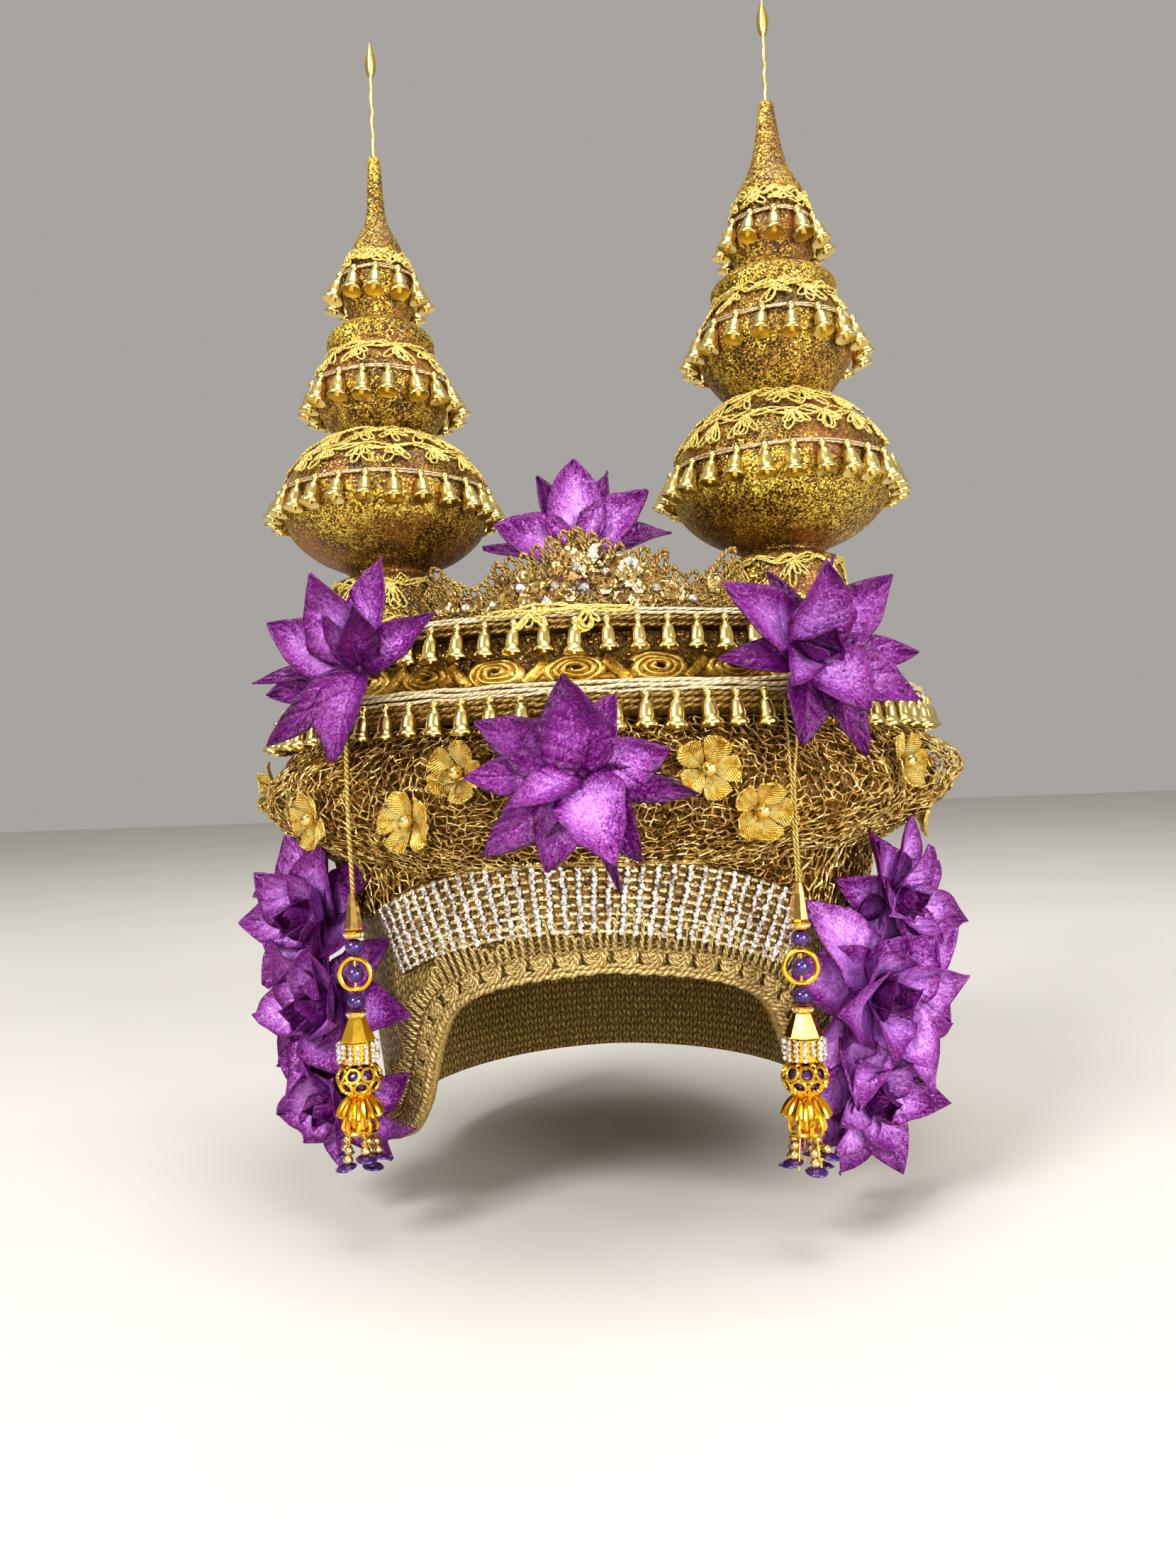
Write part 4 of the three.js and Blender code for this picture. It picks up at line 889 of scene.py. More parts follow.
for node, (z, count, first) in spireBells.items():
    side, ball = node.split('_')[:2]
    spire = side + '_spire_' + ball
    dice = random.Random(node)
    hang = bell['onSpire']
    widest = max(r for height, r in smoothRows[spire] if z - 16 < height < z + 1)
    places = []
    for i in range(count):
        angle = tau * i / count + math.radians(first)
        top, out = onSpire(spire, angle, z, hang['lift'])
        lip = Vector((spireX[side], spireY, z - hang['fall'])) + bearing(angle) * (widest + hang['gap'])
        places.append(hungBell(top, lip, dice, hang['size']))
    hangBells(side + ball.title() + 'Bells', node, places, dice)
takeOut(bellModel)
print('bells hung')

# Spires: turned bodies, scrolls of thin cord, thread strings, a leaf on a wire

for node, spire in spires.items():
    body = turned(smoothRows[node], spireSides, (spireX[node.split('_')[0]], spireY))
    # each point's tint: its gilding and painted shade from the table
    gold = body.data.attributes.new('tint', 'FLOAT', 'POINT')
    gold.data.foreach_set('value', [tableAt(spire['gildingAndShade'], v.co.z) for v in body.data.vertices])
    wear(body, node.replace('_spire_', 'Spire') + 'Body', 'paint', [node])

scrollCord = {'radius': 0.44, 'waves': (7, 9, 11, 13), 'borderSteps': 88,
              'loops': 5, 'spread': 2.3, 'loopSteps': 12}
bellString = {'radius': 0.42, 'turns': 2, 'steps': 60, 'apart': 0.8, 'lift': 0.9}
scrollParts = newParts()


def addScroll(node, path, tint):
    stops = [onSpire(node, angle, z, lift) for angle, z, lift in path]
    layCord(scrollParts, stops, scrollCord['radius'], 5, False, tint)


def addBorder(node, border, first, strand, dice):
    # a loose strand that runs round the border and crosses the others
    waves, phase = dice.choice(scrollCord['waves']), dice.uniform(0, tau)
    swing = dice.uniform(1.0, 2.3)
    path = []
    for i in range(scrollCord['borderSteps'] + 1):
        turn = tau * i / scrollCord['borderSteps']
        wave = turn * waves + phase
        z = border + swing * math.sin(wave) + 0.5 * math.sin(turn * 3 + strand)
        path.append((first + turn, z, 0.6 + 0.16 * strand + 0.4 * math.cos(wave)))
    addScroll(node, path, dice.uniform(0.1, 1))


def addKnot(node, border, foot, at, dice):
    # loops that hang from the border, spread like a fan
    radius = tableAt(smoothRows[node], blend(border, foot, 0.5))
    for k in range(scrollCord['loops']):
        fan = k - scrollCord['loops'] // 2
        lean, width = fan * scrollCord['spread'] + dice.uniform(-0.9, 0.9), dice.uniform(1.0, 2.0)
        low = blend(border, foot, dice.uniform(0.5, 1.05))
        path = []
        for i in range(scrollCord['loopSteps'] + 1):
            turn = math.pi * i / scrollCord['loopSteps']
            sag = math.sin(turn)
            beside = lean * sag + width * math.sin(2 * turn)
            path.append((at + beside / radius, blend(border, low, sag), 0.5 + 0.8 * sag + 0.14 * k))
        addScroll(node, path, dice.uniform(0.1, 1))


for node, spire in spires.items():
    dice = random.Random(node)
    for border, foot, count, strands in spire['scrolls']:
        first = dice.uniform(0, tau)
        for strand in range(strands):
            addBorder(node, border, first, strand, dice)
        for n in range(count):
            addKnot(node, border, foot, first + tau * (n + dice.uniform(-0.15, 0.15)) / count, dice)
wear(pieceFrom(scrollParts), 'spireScrolls', 'scroll')

stringParts = newParts()
for node, (z, count, first) in spireBells.items():
    spire = node.replace('_bells', '').replace('_', '_spire_')
    for turn in range(bellString['turns']):
        stops = []
        for i in range(bellString['steps']):
            angle = tau * i / bellString['steps']
            height = z - bellString['apart'] * turn + 0.3 * math.sin(angle * 5 + turn)
            stops.append(onSpire(spire, angle, height, bellString['lift']))
        layCord(stringParts, stops, bellString['radius'], 6, True, 0.2 * turn)
wear(pieceFrom(stringParts), 'spireStrings', 'silverYarn')

leaf = {
    # foot of the wire, joint with the leaf, tip
    'places': {'left': (248, 282.5, 297.6), 'right': (255.5, 283.5, 298.9)},
    'half': 2.3, 'steps': 10, 'wire': 0.75, 'wireSteps': 40, 'coil': 0.35,
}
leafParts = newParts()
for side, (foot, joint, tip) in leaf['places'].items():
    x, y = spireX[side], spireY
    path = []
    for i in range(leaf['wireSteps']):
        share = i / (leaf['wireSteps'] - 1)
        coil = spoke(share * 22) * leaf['coil'] * math.sin(share * math.pi)
        path.append(Vector((x, y, blend(foot, joint + 1, share))) + coil)
    addTube(leafParts, path, [Vector((0, -1, 0.01))] * len(path), leaf['wire'], 6, False, 0.6)
    # a folded leaf of foil: two halves that meet at a raised rib
    start = len(leafParts['points'])
    steps = leaf['steps']
    for i in range(steps + 1):
        share = i / steps
        half = leaf['half'] * math.sin(math.pi * share ** 0.8) ** 0.9 + 0.15
        for beside, behind in ((-half, 0.5), (0, -0.5), (half, 0.5), (0, 0.4)):
            leafParts['points'].append(Vector((x + beside, y + behind, blend(joint, tip, share))))
            leafParts['tints'].append(0.7)
    leafParts['faces'] += gridFaces(start, 4, steps, True)
    leafParts['uvs'] += [((0, 0),) * 4] * (4 * steps)
wear(pieceFrom(leafParts), 'leafTips', 'leafFoil', ['left_spire_leaf', 'right_spire_leaf'])
print('spires done')

# Cap: a smooth shell with a coarse knit cover

cap = {
    'sections': ((3, 112, 108), (-30, 108, 110), (-70, 102, 108), (-110, 97, 104), (-155, 92, 99)),
    'rim': smoothTable(((0, -80), (15, -83), (26, -88.5), (34, -97), (40, -114), (46, -133), (58, -148),
                        (80, -152), (180, -150)), 6),  # degrees from the middle of its arch, height
    'archTurn': 4.5,
    'skins': ((0.0, 3.0), (-3.0, 0.0)),  # lift and ceiling, outside and inside
    'columns': 144, 'rows': 22,
    'knitLength': 0.66, 'knitHeight': 0.16,
}


def rimHeight(angle):
    turn = (math.degrees(angle) - cap['archTurn'] + 180) % 360 - 180
    return tableAt(cap['rim'], abs(turn))


def onCap(angle, z, lift=0.0):
    return onOval(tableAt(cap['sections'], z, 1), tableAt(cap['sections'], z, 2), angle, z, lift)


def makeCap():
    parts = newParts()
    columns, rows = cap['columns'], cap['rows']
    for lift, ceiling in cap['skins']:
        for j in range(rows + 1):
            for i in range(columns):
                angle = tau * i / columns
                z = blend(rimHeight(angle), ceiling, j / rows)
                parts['points'].append(onCap(angle, z, lift)[0])
                parts['tints'].append(0.5)
    size = columns * (rows + 1)
    for skin, way in ((0, 1), (1, -1)):
        parts['faces'] += [face[::way] for face in gridFaces(skin * size, columns, rows, True)]
        stitches = gridMap(columns, rows, cap['knitLength'], cap['knitHeight'])
        parts['uvs'] += [face[::way] for face in stitches]
    for i in range(columns):
        k = (i + 1) % columns
        parts['faces'].append((i, size + i, size + k, k))
        parts['uvs'].append(((0, 0),) * 4)
    top = rows * columns
    parts['faces'].append(tuple(top + i for i in range(columns)))
    parts['faces'].append(tuple(size + top + i for i in reversed(range(columns))))
    parts['uvs'] += [((0, 0),) * columns, ((0, 0),) * columns]
    return pieceFrom(parts)


wear(makeCap(), 'capShell', 'knit', ['cap'])
print('cap done')

# Stone band: a mesh backing, columns of silver stones between columns of gold bars

band = {
    'reach': math.radians(46), 'top': -41.6, 'fall': 18.4, 'height': 25.5, 'girth': 105,
    'columns': 65, 'bars': 9, 'stones': 13,
    'stone': ((-0.5, 1.1), (0.1, 1.15), (0.35, 1.1), (0.85, 0.65)),  # low cup, crown and flat table
    'bar': (2.9, 1.35, 1.4),
    'backing': {'columns': 60, 'rows': 4, 'lifts': (1.2, 2.3)},
}


def onBand(angle, down, lift):
    # a place on the cap so far below the band's top line, square to the line; the way out; the line's slope
    reach = band['reach']
    slope = -2 * band['fall'] * angle / reach ** 2 / band['girth']
    length = math.hypot(1, slope)
    top = band['top'] - band['fall'] * (angle / reach) ** 2
    place, out = onCap(angle + down * slope / (length * band['girth']), top - down / length, lift)
    return place, out, slope


def makeBandBacking():
    parts = newParts()
    columns, rows = band['backing']['columns'], band['backing']['rows']
    for lift in band['backing']['lifts']:
        for j in range(rows + 1):
            for i in range(columns + 1):
                angle = blend(-band['reach'], band['reach'], i / columns)
                parts['points'].append(onBand(angle, band['height'] * (1 - j / rows), lift)[0])
                parts['tints'].append(0.5)
    wide, size = columns + 1, (columns + 1) * (rows + 1)
    for outside, inside in zip(gridFaces(size, columns, rows), turnedOver(gridFaces(0, columns, rows))):
        parts['faces'] += [outside, inside]
    rim = [j * wide for j in range(rows)] + [rows * wide + i for i in range(columns)]
    rim += [(rows - j) * wide + columns for j in range(rows)] + [columns - i for i in range(columns)]
    for a, b in zip(rim, rim[1:] + rim[:1]):
        parts['faces'].append((a, b, size + b, size + a))
    return pieceFrom(parts)


def makeStones():
    stone = turned(band['stone'], 7)
    startMesh(stone)
    bpy.ops.object.shade_flat()
    bar = bevelledBar(band['bar'], 0.4, 1)
    dice = random.Random(31)
    silver, gold = [], []
    edge = band['reach'] * 0.985
    for i in range(band['columns']):
        angle = blend(-edge, edge, i / (band['columns'] - 1))
        rows = band['bars'] if i % 2 else band['stones']
        for j in range(rows):
            down = 1.4 + j * (band['height'] - 2.6) / (rows - 1) + dice.uniform(-0.15, 0.15)
            place, out, slope = onBand(angle + dice.uniform(-0.003, 0.003), down, 3.0)
            tilt = out + anyWay(dice) * 0.22
            across = up.cross(out) + up * slope
            if i % 2:
                gold.append(standAt(place - out * 0.5, tilt, across, dice.uniform(0.85, 1.05)))
            else:
                place = place + across * dice.uniform(-0.3, 0.3)
                silver.append(standAt(place, tilt, across, dice.uniform(0.95, 1.15)))
    pieces = copiesOf(stone, silver, dice, False), copiesOf(bar, gold, dice, False)
    takeOut(stone, bar)
    return pieces


wear(makeBandBacking(), 'bandBacking', 'laceShade', ['crystal_band'])
silverStones, goldBars = makeStones()
wear(silverStones, 'bandStones', 'stone')
wear(goldBars, 'bandBars', 'goldStone')
print('stone band done')

# Rim braid: bound edge, rows of looped scallops and fans of upright loops

braid = {
    'reach': math.radians(76),
    'cords': ((0.9, 1.0, 1.2, 0.5), (2.6, 1.5, 0.9, 0.3), (8.2, 1.6, 0.9, 0.6),
              (9.8, 1.3, 0.8, 0.4)),  # height, lift, radius, tint
    'scallops': ((7.4, 5.0), (5.4, 3.6), (3.4, 2.2), (1.6, 0.9)),  # width, height
    'fan': (4.0, 5.0, 7.5, 9.5, 12.5, 14.0, 12.0, 10.0, 7.0, 5.5),  # heights of the upright loops
    'steps': {'cord': 1.6, 'scallop': 8.6, 'loop': 2.7},
}


def rimStations(step):
    # places along the arched rim at even steps: place, way along, way up the cloth, way out
    stations, fine = [], 1200
    angles = [blend(-braid['reach'], braid['reach'], i / fine) for i in range(fine + 1)]
    line = [onCap(angle, rimHeight(angle))[0] for angle in angles]
    lengths = [0.0]
    for a, b in zip(line, line[1:]):
        lengths.append(lengths[-1] + (b - a).length)
    count = int(lengths[-1] / step)
    at = 0
    for n in range(count + 1):
        goal = lengths[-1] * n / count
        while at < fine - 1 and lengths[at + 1] < goal:
            at += 1
        out = onCap(angles[at], rimHeight(angles[at]))[1]
        along = (line[min(at + 3, fine)] - line[max(at - 3, 0)]).normalized()
        rise = out.cross(along).normalized() * -1
        stations.append((line[at], along, rise if rise.z >= 0 else -rise, out))
    return stations


def addLoop(parts, station, profile, lift, radius, tint):
    # a bent cord in the cloth's own plane; profile gives steps along, up and out
    place, along, rise, out = station
    path = [place + along * a + rise * h + out * (lift + extra) for a, h, extra in profile]
    addTube(parts, path, [out] * len(path), radius, 5, False, tint)


def upright(width, height, foot):
    # an upright loop: up one side, over, down the other
    half = width / 2
    steps = [(-half, foot, 0), (-half * 1.05, foot + height * 0.5, 0.3)]
    for i in range(7):
        turn = math.pi * i / 6
        crown = foot + height - width * 0.5 + width * 0.55 * math.sin(turn)
        steps.append((-half * math.cos(turn), crown, 0.5))
    return steps + [(half * 1.05, foot + height * 0.5, 0.3), (half, foot, 0)]


def scallop(width, height, foot):
    turns = [math.pi * i / 8 for i in range(9)]
    return [(-width / 2 * math.cos(t), foot - height * math.sin(t), 0.2 * math.sin(t)) for t in turns]


def makeBraid():
    parts = newParts()
    dice = random.Random(5)
    stations = rimStations(braid['steps']['cord'])
    for height, lift, radius, tint in braid['cords']:
        stops = []
        for n, (place, along, rise, out) in enumerate(stations):
            wave = n * 1.7
            place = place + rise * (height + 0.35 * math.sin(wave)) + out * (lift + 0.3 * math.cos(wave))
            stops.append((place, out))
        layCord(parts, stops, radius, 6, False, tint)
    for station in rimStations(braid['steps']['scallop']):
        for width, height in braid['scallops']:
            addLoop(parts, station, scallop(width, height, 7.6), 1.6, 0.75, dice.uniform(0.2, 0.8))
    fan = braid['fan']
    for n, station in enumerate(rimStations(braid['steps']['loop'])):
        height = fan[n % len(fan)] * dice.uniform(0.9, 1.1)
        loop = upright(2.5 + dice.uniform(-0.3, 0.3), height, 8.4)
        addLoop(parts, station, loop, 3.3 + 0.4 * (n % 2), 0.62, dice.uniform(0.2, 0.9))
    return pieceFrom(parts)


wear(makeBraid(), 'rimBraid', 'braid', ['rim_braid'])
print('rim braid done')

# Net ruffle: two layers of open mesh over a dark sheet of painted shade seen through them, gathered in folds

net = {
    'line': smoothTable(((2.9, 119, 113, 0), (-8, 129, 116, 0.7), (-17, 134.5, 118, 1), (-26, 134, 118, 1),
                         (-35, 126, 116, 0.7), (-44, 109.6, 112.6, 0.1)), 8),  # z, half width, depth, swell
    'foot': smoothTable(((0, -44.2), (25, -47), (40, -56), (50, -64), (70, -65), (110, -61),
                         (180, -52)), 6),  # degrees from the front, height
    'skirt': 0.84,  # share of the net above the part that lies on the cap
    'folds': 16, 'foldDepth': 2.4, 'crumple': 1.8,
    'flareTurn': 1.4, 'flareShare': 0.2, 'flareWidth': 0.2,
}
netLayers = {
    'cells': {'columns': 190, 'rows': 22, 'jitter': 0.36, 'lift': 1.1, 'rough': 1.2, 'thread': 1.0,
              'seed': 9, 'flare': 15.0},
    'under': {'columns': 150, 'rows': 17, 'jitter': 0.42, 'lift': -0.4, 'rough': 0.7, 'thread': 1.2,
              'seed': 14, 'flare': 0.0},
    'shadeLining': {'columns': 200, 'rows': 12, 'lift': -1.6, 'thickness': 1.0},
}
netLengths = [0.0]
for low, high in zip(net['line'], net['line'][1:]):
    netLengths.append(netLengths[-1] + math.hypot(high[0] - low[0], high[1] - low[1]))


def onNet(angle, share, lift=0.0, flare=0.0):
    # a place on the gathered net; share runs from its top to its foot, the last part flat on the cap
    skirt = net['skirt']
    turn = (angle + math.pi) % tau - math.pi
    if share > skirt:
        down = (min(share, 1) - skirt) / (1 - skirt)
        foot = tableAt(net['foot'], abs(math.degrees(turn)))
        return onCap(angle, blend(-44, foot, down), blend(3.4, 1.7, down) + lift)[0]
    goal = min(max(share / skirt, 0), 1) * netLengths[-1]
    at = max(i for i, length in enumerate(netLengths[:-1]) if length <= goal + 1e-9)
    part = (goal - netLengths[at]) / (netLengths[at + 1] - netLengths[at])
    z, wide, deep, swell = (blend(a, b, part) for a, b in zip(net['line'][at], net['line'][at + 1]))
    around = Vector((math.sin(angle), math.cos(angle), 0))
    crumple = noise.noise(around * 22 + up * share * 5) + 0.7 * noise.noise(around * 60 + up * share * 9)
    aside, below = turn - net['flareTurn'], share - net['flareShare']
    tip = flare * math.exp(-(aside / net['flareWidth']) ** 2 - (below / net['flareWidth']) ** 2)
    gather = net['foldDepth'] * math.cos(net['folds'] * angle + 0.8 * math.sin(5 * angle))
    return onOval(wide, deep, angle, z, swell * (gather + net['crumple'] * crumple + tip) + lift)[0]


def netMesh(layer):
    # six-sided cells round the hat, pulled about
    dice = random.Random(layer['seed'])
    columns, rows, jitter, rough = (layer[key] for key in ('columns', 'rows', 'jitter', 'rough'))

    def corner(x, y):
        angle = tau * (x + dice.uniform(-jitter, jitter)) / columns
        share = (y + 0.667 + dice.uniform(-jitter, jitter)) / (rows + 0.333)
        spot = Vector((math.sin(angle) * 9, math.cos(angle) * 9, share * 4 + layer['seed']))
        angle += 0.035 * noise.noise(spot)
        share += 0.08 * math.sin(math.pi * share) * noise.noise(spot + up * 20)
        return onNet(angle, share, layer['lift'] + dice.uniform(-rough, rough), layer['flare'])

    cells = [(i + 0.5 * (j % 2), j) for j in range(rows) for i in range(columns)]
    return laceFrom(cells, corner, layer['thread'], columns)


# a dark sheet under the mesh: painted shade for the net's depth
def netShadeLining(shadeLining):
    parts = newParts()
    columns, rows = shadeLining['columns'], shadeLining['rows']
    for j in range(rows + 1):
        for i in range(columns):
            parts['points'].append(onNet(tau * i / columns, j / rows, shadeLining['lift']))
    parts['faces'] = turnedOver(gridFaces(0, columns, rows, True))
    return applyModifier(pieceFrom(parts), 'SOLIDIFY', thickness=shadeLining['thickness'], offset=-1)


netCells = wear(netMesh(netLayers['cells']), 'netCells', 'lace', ['net_ruffle'])
netUnder = wear(netMesh(netLayers['under']), 'netUnder', 'laceUnder')
netBack = wear(netShadeLining(netLayers['shadeLining']), 'netShadeLining', 'laceShade')
print('net done')

# Cloth flowers

purpleShape = {'root': 0.55, 'tip': 0.95, 'cup': 0.25, 'columns': 8, 'rows': 14, 'fullness': 1.2,
               'thickness': 0.45}
goldShape = {'root': 0.9, 'tip': 0.3, 'cup': 0.0, 'columns': 8, 'rows': 9, 'fullness': 1.0,
             'thickness': 0.4}


def addPetal(parts, matrix, shape, length, width, curl, light, dice):
    # one petal along +Y, face up; root and tip say how soon it widens and how fine it ends
    root, tip, cup, columns, rows = (shape[key] for key in ('root', 'tip', 'cup', 'columns', 'rows'))
    start = len(parts['points'])
    phase = dice.uniform(0, tau)
    nod = dice.uniform(-0.4, 0.4)
    spot = Vector((dice.uniform(0, 90), dice.uniform(0, 90), 0))
    bendAll = math.radians(curl) or 0.001
    peak = root / (root + tip)
    top = peak ** root * (1 - peak) ** tip
    for j in range(rows + 1):
        v = j / rows
        half = width / 2 * max(v ** root * (1 - v) ** tip / top, 0.06 if j < rows else 0.02)
        half *= 1 + 0.16 * noise.noise(spot + up * v * 5)
        bend = bendAll * v
        middle = Vector((0, length * math.sin(bend) / bendAll, length * (1 - math.cos(bend)) / bendAll))
        face = Vector((0, -math.sin(bend), math.cos(bend)))
        for i in range(columns + 1):
            u = 2 * i / columns - 1
            ripple = 0.06 * width * math.sin(7 * v + phase + 2 * u) * abs(u) * v
            crumple = 0.1 * width * v * noise.noise(spot + Vector((u * 1.4, 0, v * 3)))
            hollow = half * (cup * u * u + 0.22 * abs(u))
            rise = hollow + ripple + crumple + nod * length * max(v - 0.55, 0) ** 2
            parts['points'].append(matrix @ (middle + Vector((u * half, 0, 0)) + face * rise))
            # each petal's painted light goes to its points as their tint
            parts['tints'].append(light)
    parts['faces'] += gridFaces(start, columns, rows)
    parts['uvs'] += gridMap(columns, rows)


def flowerFrame(facing):
    front = facing.normalized()
    right = up.cross(front).normalized()
    return front, right, front.cross(right)


def addFlower(parts, centre, facing, petals, shape, dice):
    # petals: turn round the flower, lift out of its plane, length, width, curl, roll about its rib, painted
    # light
    front, right, rise = flowerFrame(facing)
    for turn, lift, length, width, curl, roll, light in petals:
        a, t = math.radians(turn), math.radians(lift)
        flat = right * math.cos(a) + rise * math.sin(a)
        along = flat * math.cos(t) + front * math.sin(t)
        face = front * math.cos(t) - flat * math.sin(t)
        lie = Matrix((along.cross(face), along, face)).transposed().to_4x4()
        lie = lie @ Matrix.Rotation(math.radians(roll), 4, 'Y')
        matrix = Matrix.Translation(centre + flat * 1.2) @ lie
        addPetal(parts, matrix, shape, length, width * shape['fullness'], curl, light, dice)


spray = (
    # petals round, first turn, step, wander of the turn, then ranges of lift, length, width, curl and painted
    # light
    (8, 0, 45, 12, (-6, 18), (0.9, 1.15), (0.42, 0.62), (-25, 5), (0.4, 1.1)),
    (6, 30, 60, 15, (28, 52), (0.75, 0.95), (0.44, 0.62), (-35, 15), (0.6, 1.3)),
)


def sprayPetals(radius, paintedLight, dice):
    # a full flower seen from any side: open outer petals, a second row, a folded heart
    petals = []
    first = dice.uniform(0, 50)
    for count, begin, step, wander, lift, length, width, curl, light in spray:
        for i in range(count):
            petals.append((first + begin + i * step + dice.uniform(-wander, wander), dice.uniform(*lift),
                           radius * dice.uniform(*length), radius * dice.uniform(*width), dice.uniform(*curl),
                           dice.uniform(-25, 25), paintedLight * dice.uniform(*light)))
    for i in range(3):
        petals.append((first + i * 120, 64, radius * 0.55, radius * 0.4, 30, 0, 0.4))
    return petals


purpleFlowers = {
    # single flowers: centre, facing, petals of turn, lift, length, width, curl, roll and painted light, then
    # the stem
    'front_flower': {'heads': (((5, -134, -15), (0, -1, 0.05), (
        (97, 22, 31, 19, 10, 0, 0.15), (67, 12, 26, 13, -10, -15, 0.8), (11, 18, 27, 15, -15, 10, 0.65),
        (-13, 6, 35, 9, -10, 10, 0.1), (-70, 48, 33, 18, -40, 0, 1.1), (-58, 6, 31, 13, -5, 0, 0.0),
        (-76, 2, 37, 6, -15, 30, 0.1), (-112, 20, 31, 15, -18, 5, 0.85), (218, 8, 38, 14, -8, 0, 0.25),
        (202, 42, 28, 10, -20, 25, 0.6), (180, 14, 35, 13, -8, 0, 0.6), (151, 10, 36, 15, -5, 10, 0.2))),),
        'stem': 11},
    'left_corner_flower': {'heads': (((-70, -113, 23), (-0.3, -0.95, 0.1), (
        (105, 24, 33, 18, 12, 0, 0.95), (74, 6, 36, 14, 0, 0, 0.8), (57, 46, 28, 12, 20, 55, 0.0),
        (24, 12, 34, 10, -10, 15, 0.45), (152, 20, 33, 16, 8, 0, 1.0), (181, 8, 40, 7, -12, 35, 0.0),
        (193, 4, 33, 14, -5, 0, 0.3), (227, 24, 39, 10, -15, -30, 0.1), (263, 26, 32, 16, -25, 0, 0.35),
        (119, 2, 31, 8, 0, 40, 0.1), (95, 56, 22, 8, -5, 0, 0.8))),),
        'stem': 11},
    'right_corner_flower': {'heads': (((77, -110, 21), (0.35, -0.93, 0.08), (
        (95, 34, 31, 19, 25, 0, 0.85), (117, 6, 28, 9, 0, 0, 0.0), (80, 8, 31, 6, 10, 30, 0.3),
        (146, 18, 37, 14, -5, 0, 0.85), (183, 6, 31, 10, -5, 0, 0.05), (217, 50, 25, 11, -20, 20, 0.9),
        (260, 6, 29, 15, -5, 0, 0.1), (303, 36, 26, 18, -15, 0, 0.8), (299, 4, 37, 12, -5, 0, 0.1),
        (335, 12, 38, 14, -10, 0, 0.6), (-2, 12, 35, 11, -8, 10, 0.65), (42, 12, 35, 16, 5, 0, 0.6),
        (70, 62, 18, 14, 40, 0, 0.5), (250, 64, 16, 13, 40, 0, 0.2))),),
        'stem': 11},
    'back_flower': {'heads': (((-2, -44, 70.5), (0, -0.97, 0.24), (
        (92, 12, 36, 20, 6, 0, 1.1), (117, 4, 35, 13, 0, 20, 0.3), (71, 4, 34, 13, 0, -20, 0.3),
        (162, 14, 34, 17, 0, 0, 0.75), (176, 4, 36, 11, -5, 20, 0.0), (37, 14, 34, 17, 5, 0, 0.85),
        (13, 4, 35, 12, -5, -20, 0.0), (235, 16, 24, 12, -5, 0, 0.3), (300, 16, 24, 12, -5, 0, 0.3))),),
        'stem': 16},
    # sprays: centre, facing, radius and painted light of each flower; their stems run to the cap
    'left_side_flowers': {'sprays': (
        ((-104, -55, -66), (-0.62, -0.78, 0.05), (38, 1.1)), ((-100, -64, -98), (-0.54, -0.84, 0), (37, 1.3)),
        ((-95, -68, -130), (-0.53, -0.78, -0.3), (31, 1.4)))},
    'right_side_flowers': {'sprays': (
        ((108, -52, -66), (0.64, -0.76, 0.05), (30, 1.9)), ((100, -66, -97), (0.42, -0.9, 0.05), (38, 2.1)),
        ((95, -67, -131), (0.46, -0.86, -0.2), (30, 1.9)))},
}
stemParts = newParts()
for node, flower in purpleFlowers.items():
    dice = random.Random(node)
    petals = newParts()
    inSpray = 'sprays' in flower
    for centre, facing, rows in flower['sprays' if inSpray else 'heads']:
        centre, facing = Vector(centre), Vector(facing)
        rows = sprayPetals(*rows, dice) if inSpray else rows
        addFlower(petals, centre, facing, rows, purpleShape, dice)
        front, right, rise = flowerFrame(facing)
        if inSpray:
            foot = onCap(math.atan2(centre.x, -centre.y), centre.z, 0.5)[0]
        else:
            foot = centre - front * flower['stem']
        addTube(stemParts, [centre + front * 1.5, centre - front * 4, foot], [rise] * 3, [1.6, 1.3, 1.5], 8)
    piece = applyModifier(pieceFrom(petals), 'SOLIDIFY', thickness=purpleShape['thickness'], offset=0)
    wear(piece, joined(node), 'purple', [node])
wear(pieceFrom(stemParts), 'flowerStems', 'purple')

goldFlowers = {
    # which way each one faces, in degrees from the front
    'front_left': -16, 'low_left': -24, 'corner_left': -44, 'side_left': -80,
    'front_right': 18, 'low_right': 26, 'corner_right': 55, 'side_right': 76,
}
netGirth = 134, 118  # half width and depth of the net where they are sewn on
pearlRadius, pearlProud = 2.5, 2.0
pearlPlaces = []
for name, degrees in goldFlowers.items():
    node = 'gold_flower_' + name
    dice = random.Random(node)
    low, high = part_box(node)
    centre = (low + high) / 2 / mm
    facing = onOval(*netGirth, math.radians(degrees), 0)[1] + up * dice.uniform(-0.1, 0.15)
    front, right, rise = flowerFrame(facing)
    centre = centre + front * 0.3
    first = dice.uniform(0, 72)
    # the last value of each petal is a random painted light
    rows = [(first + i * 72 + dice.uniform(-5, 5), dice.uniform(12, 30), dice.uniform(10, 11),
             dice.uniform(8.8, 10), dice.uniform(-15, 25), dice.uniform(-10, 10), dice.uniform(0.3, 1))
            for i in range(5)]
    petals = newParts()
    addFlower(petals, centre - front * 1.5, facing, rows, goldShape, dice)
    piece = applyModifier(pieceFrom(petals), 'SOLIDIFY', thickness=goldShape['thickness'], offset=0)
    wear(piece, 'goldFlower' + joined(name), 'goldPetal', [node])
    pearlPlaces.append(standAt(centre + front * pearlProud, front, right))
pearlModel = ballAt(pearlRadius)
wear(copiesOf(pearlModel, pearlPlaces, random.Random(3)), 'goldFlowerBeads', 'bell')
takeOut(pearlModel)
print('flowers done')

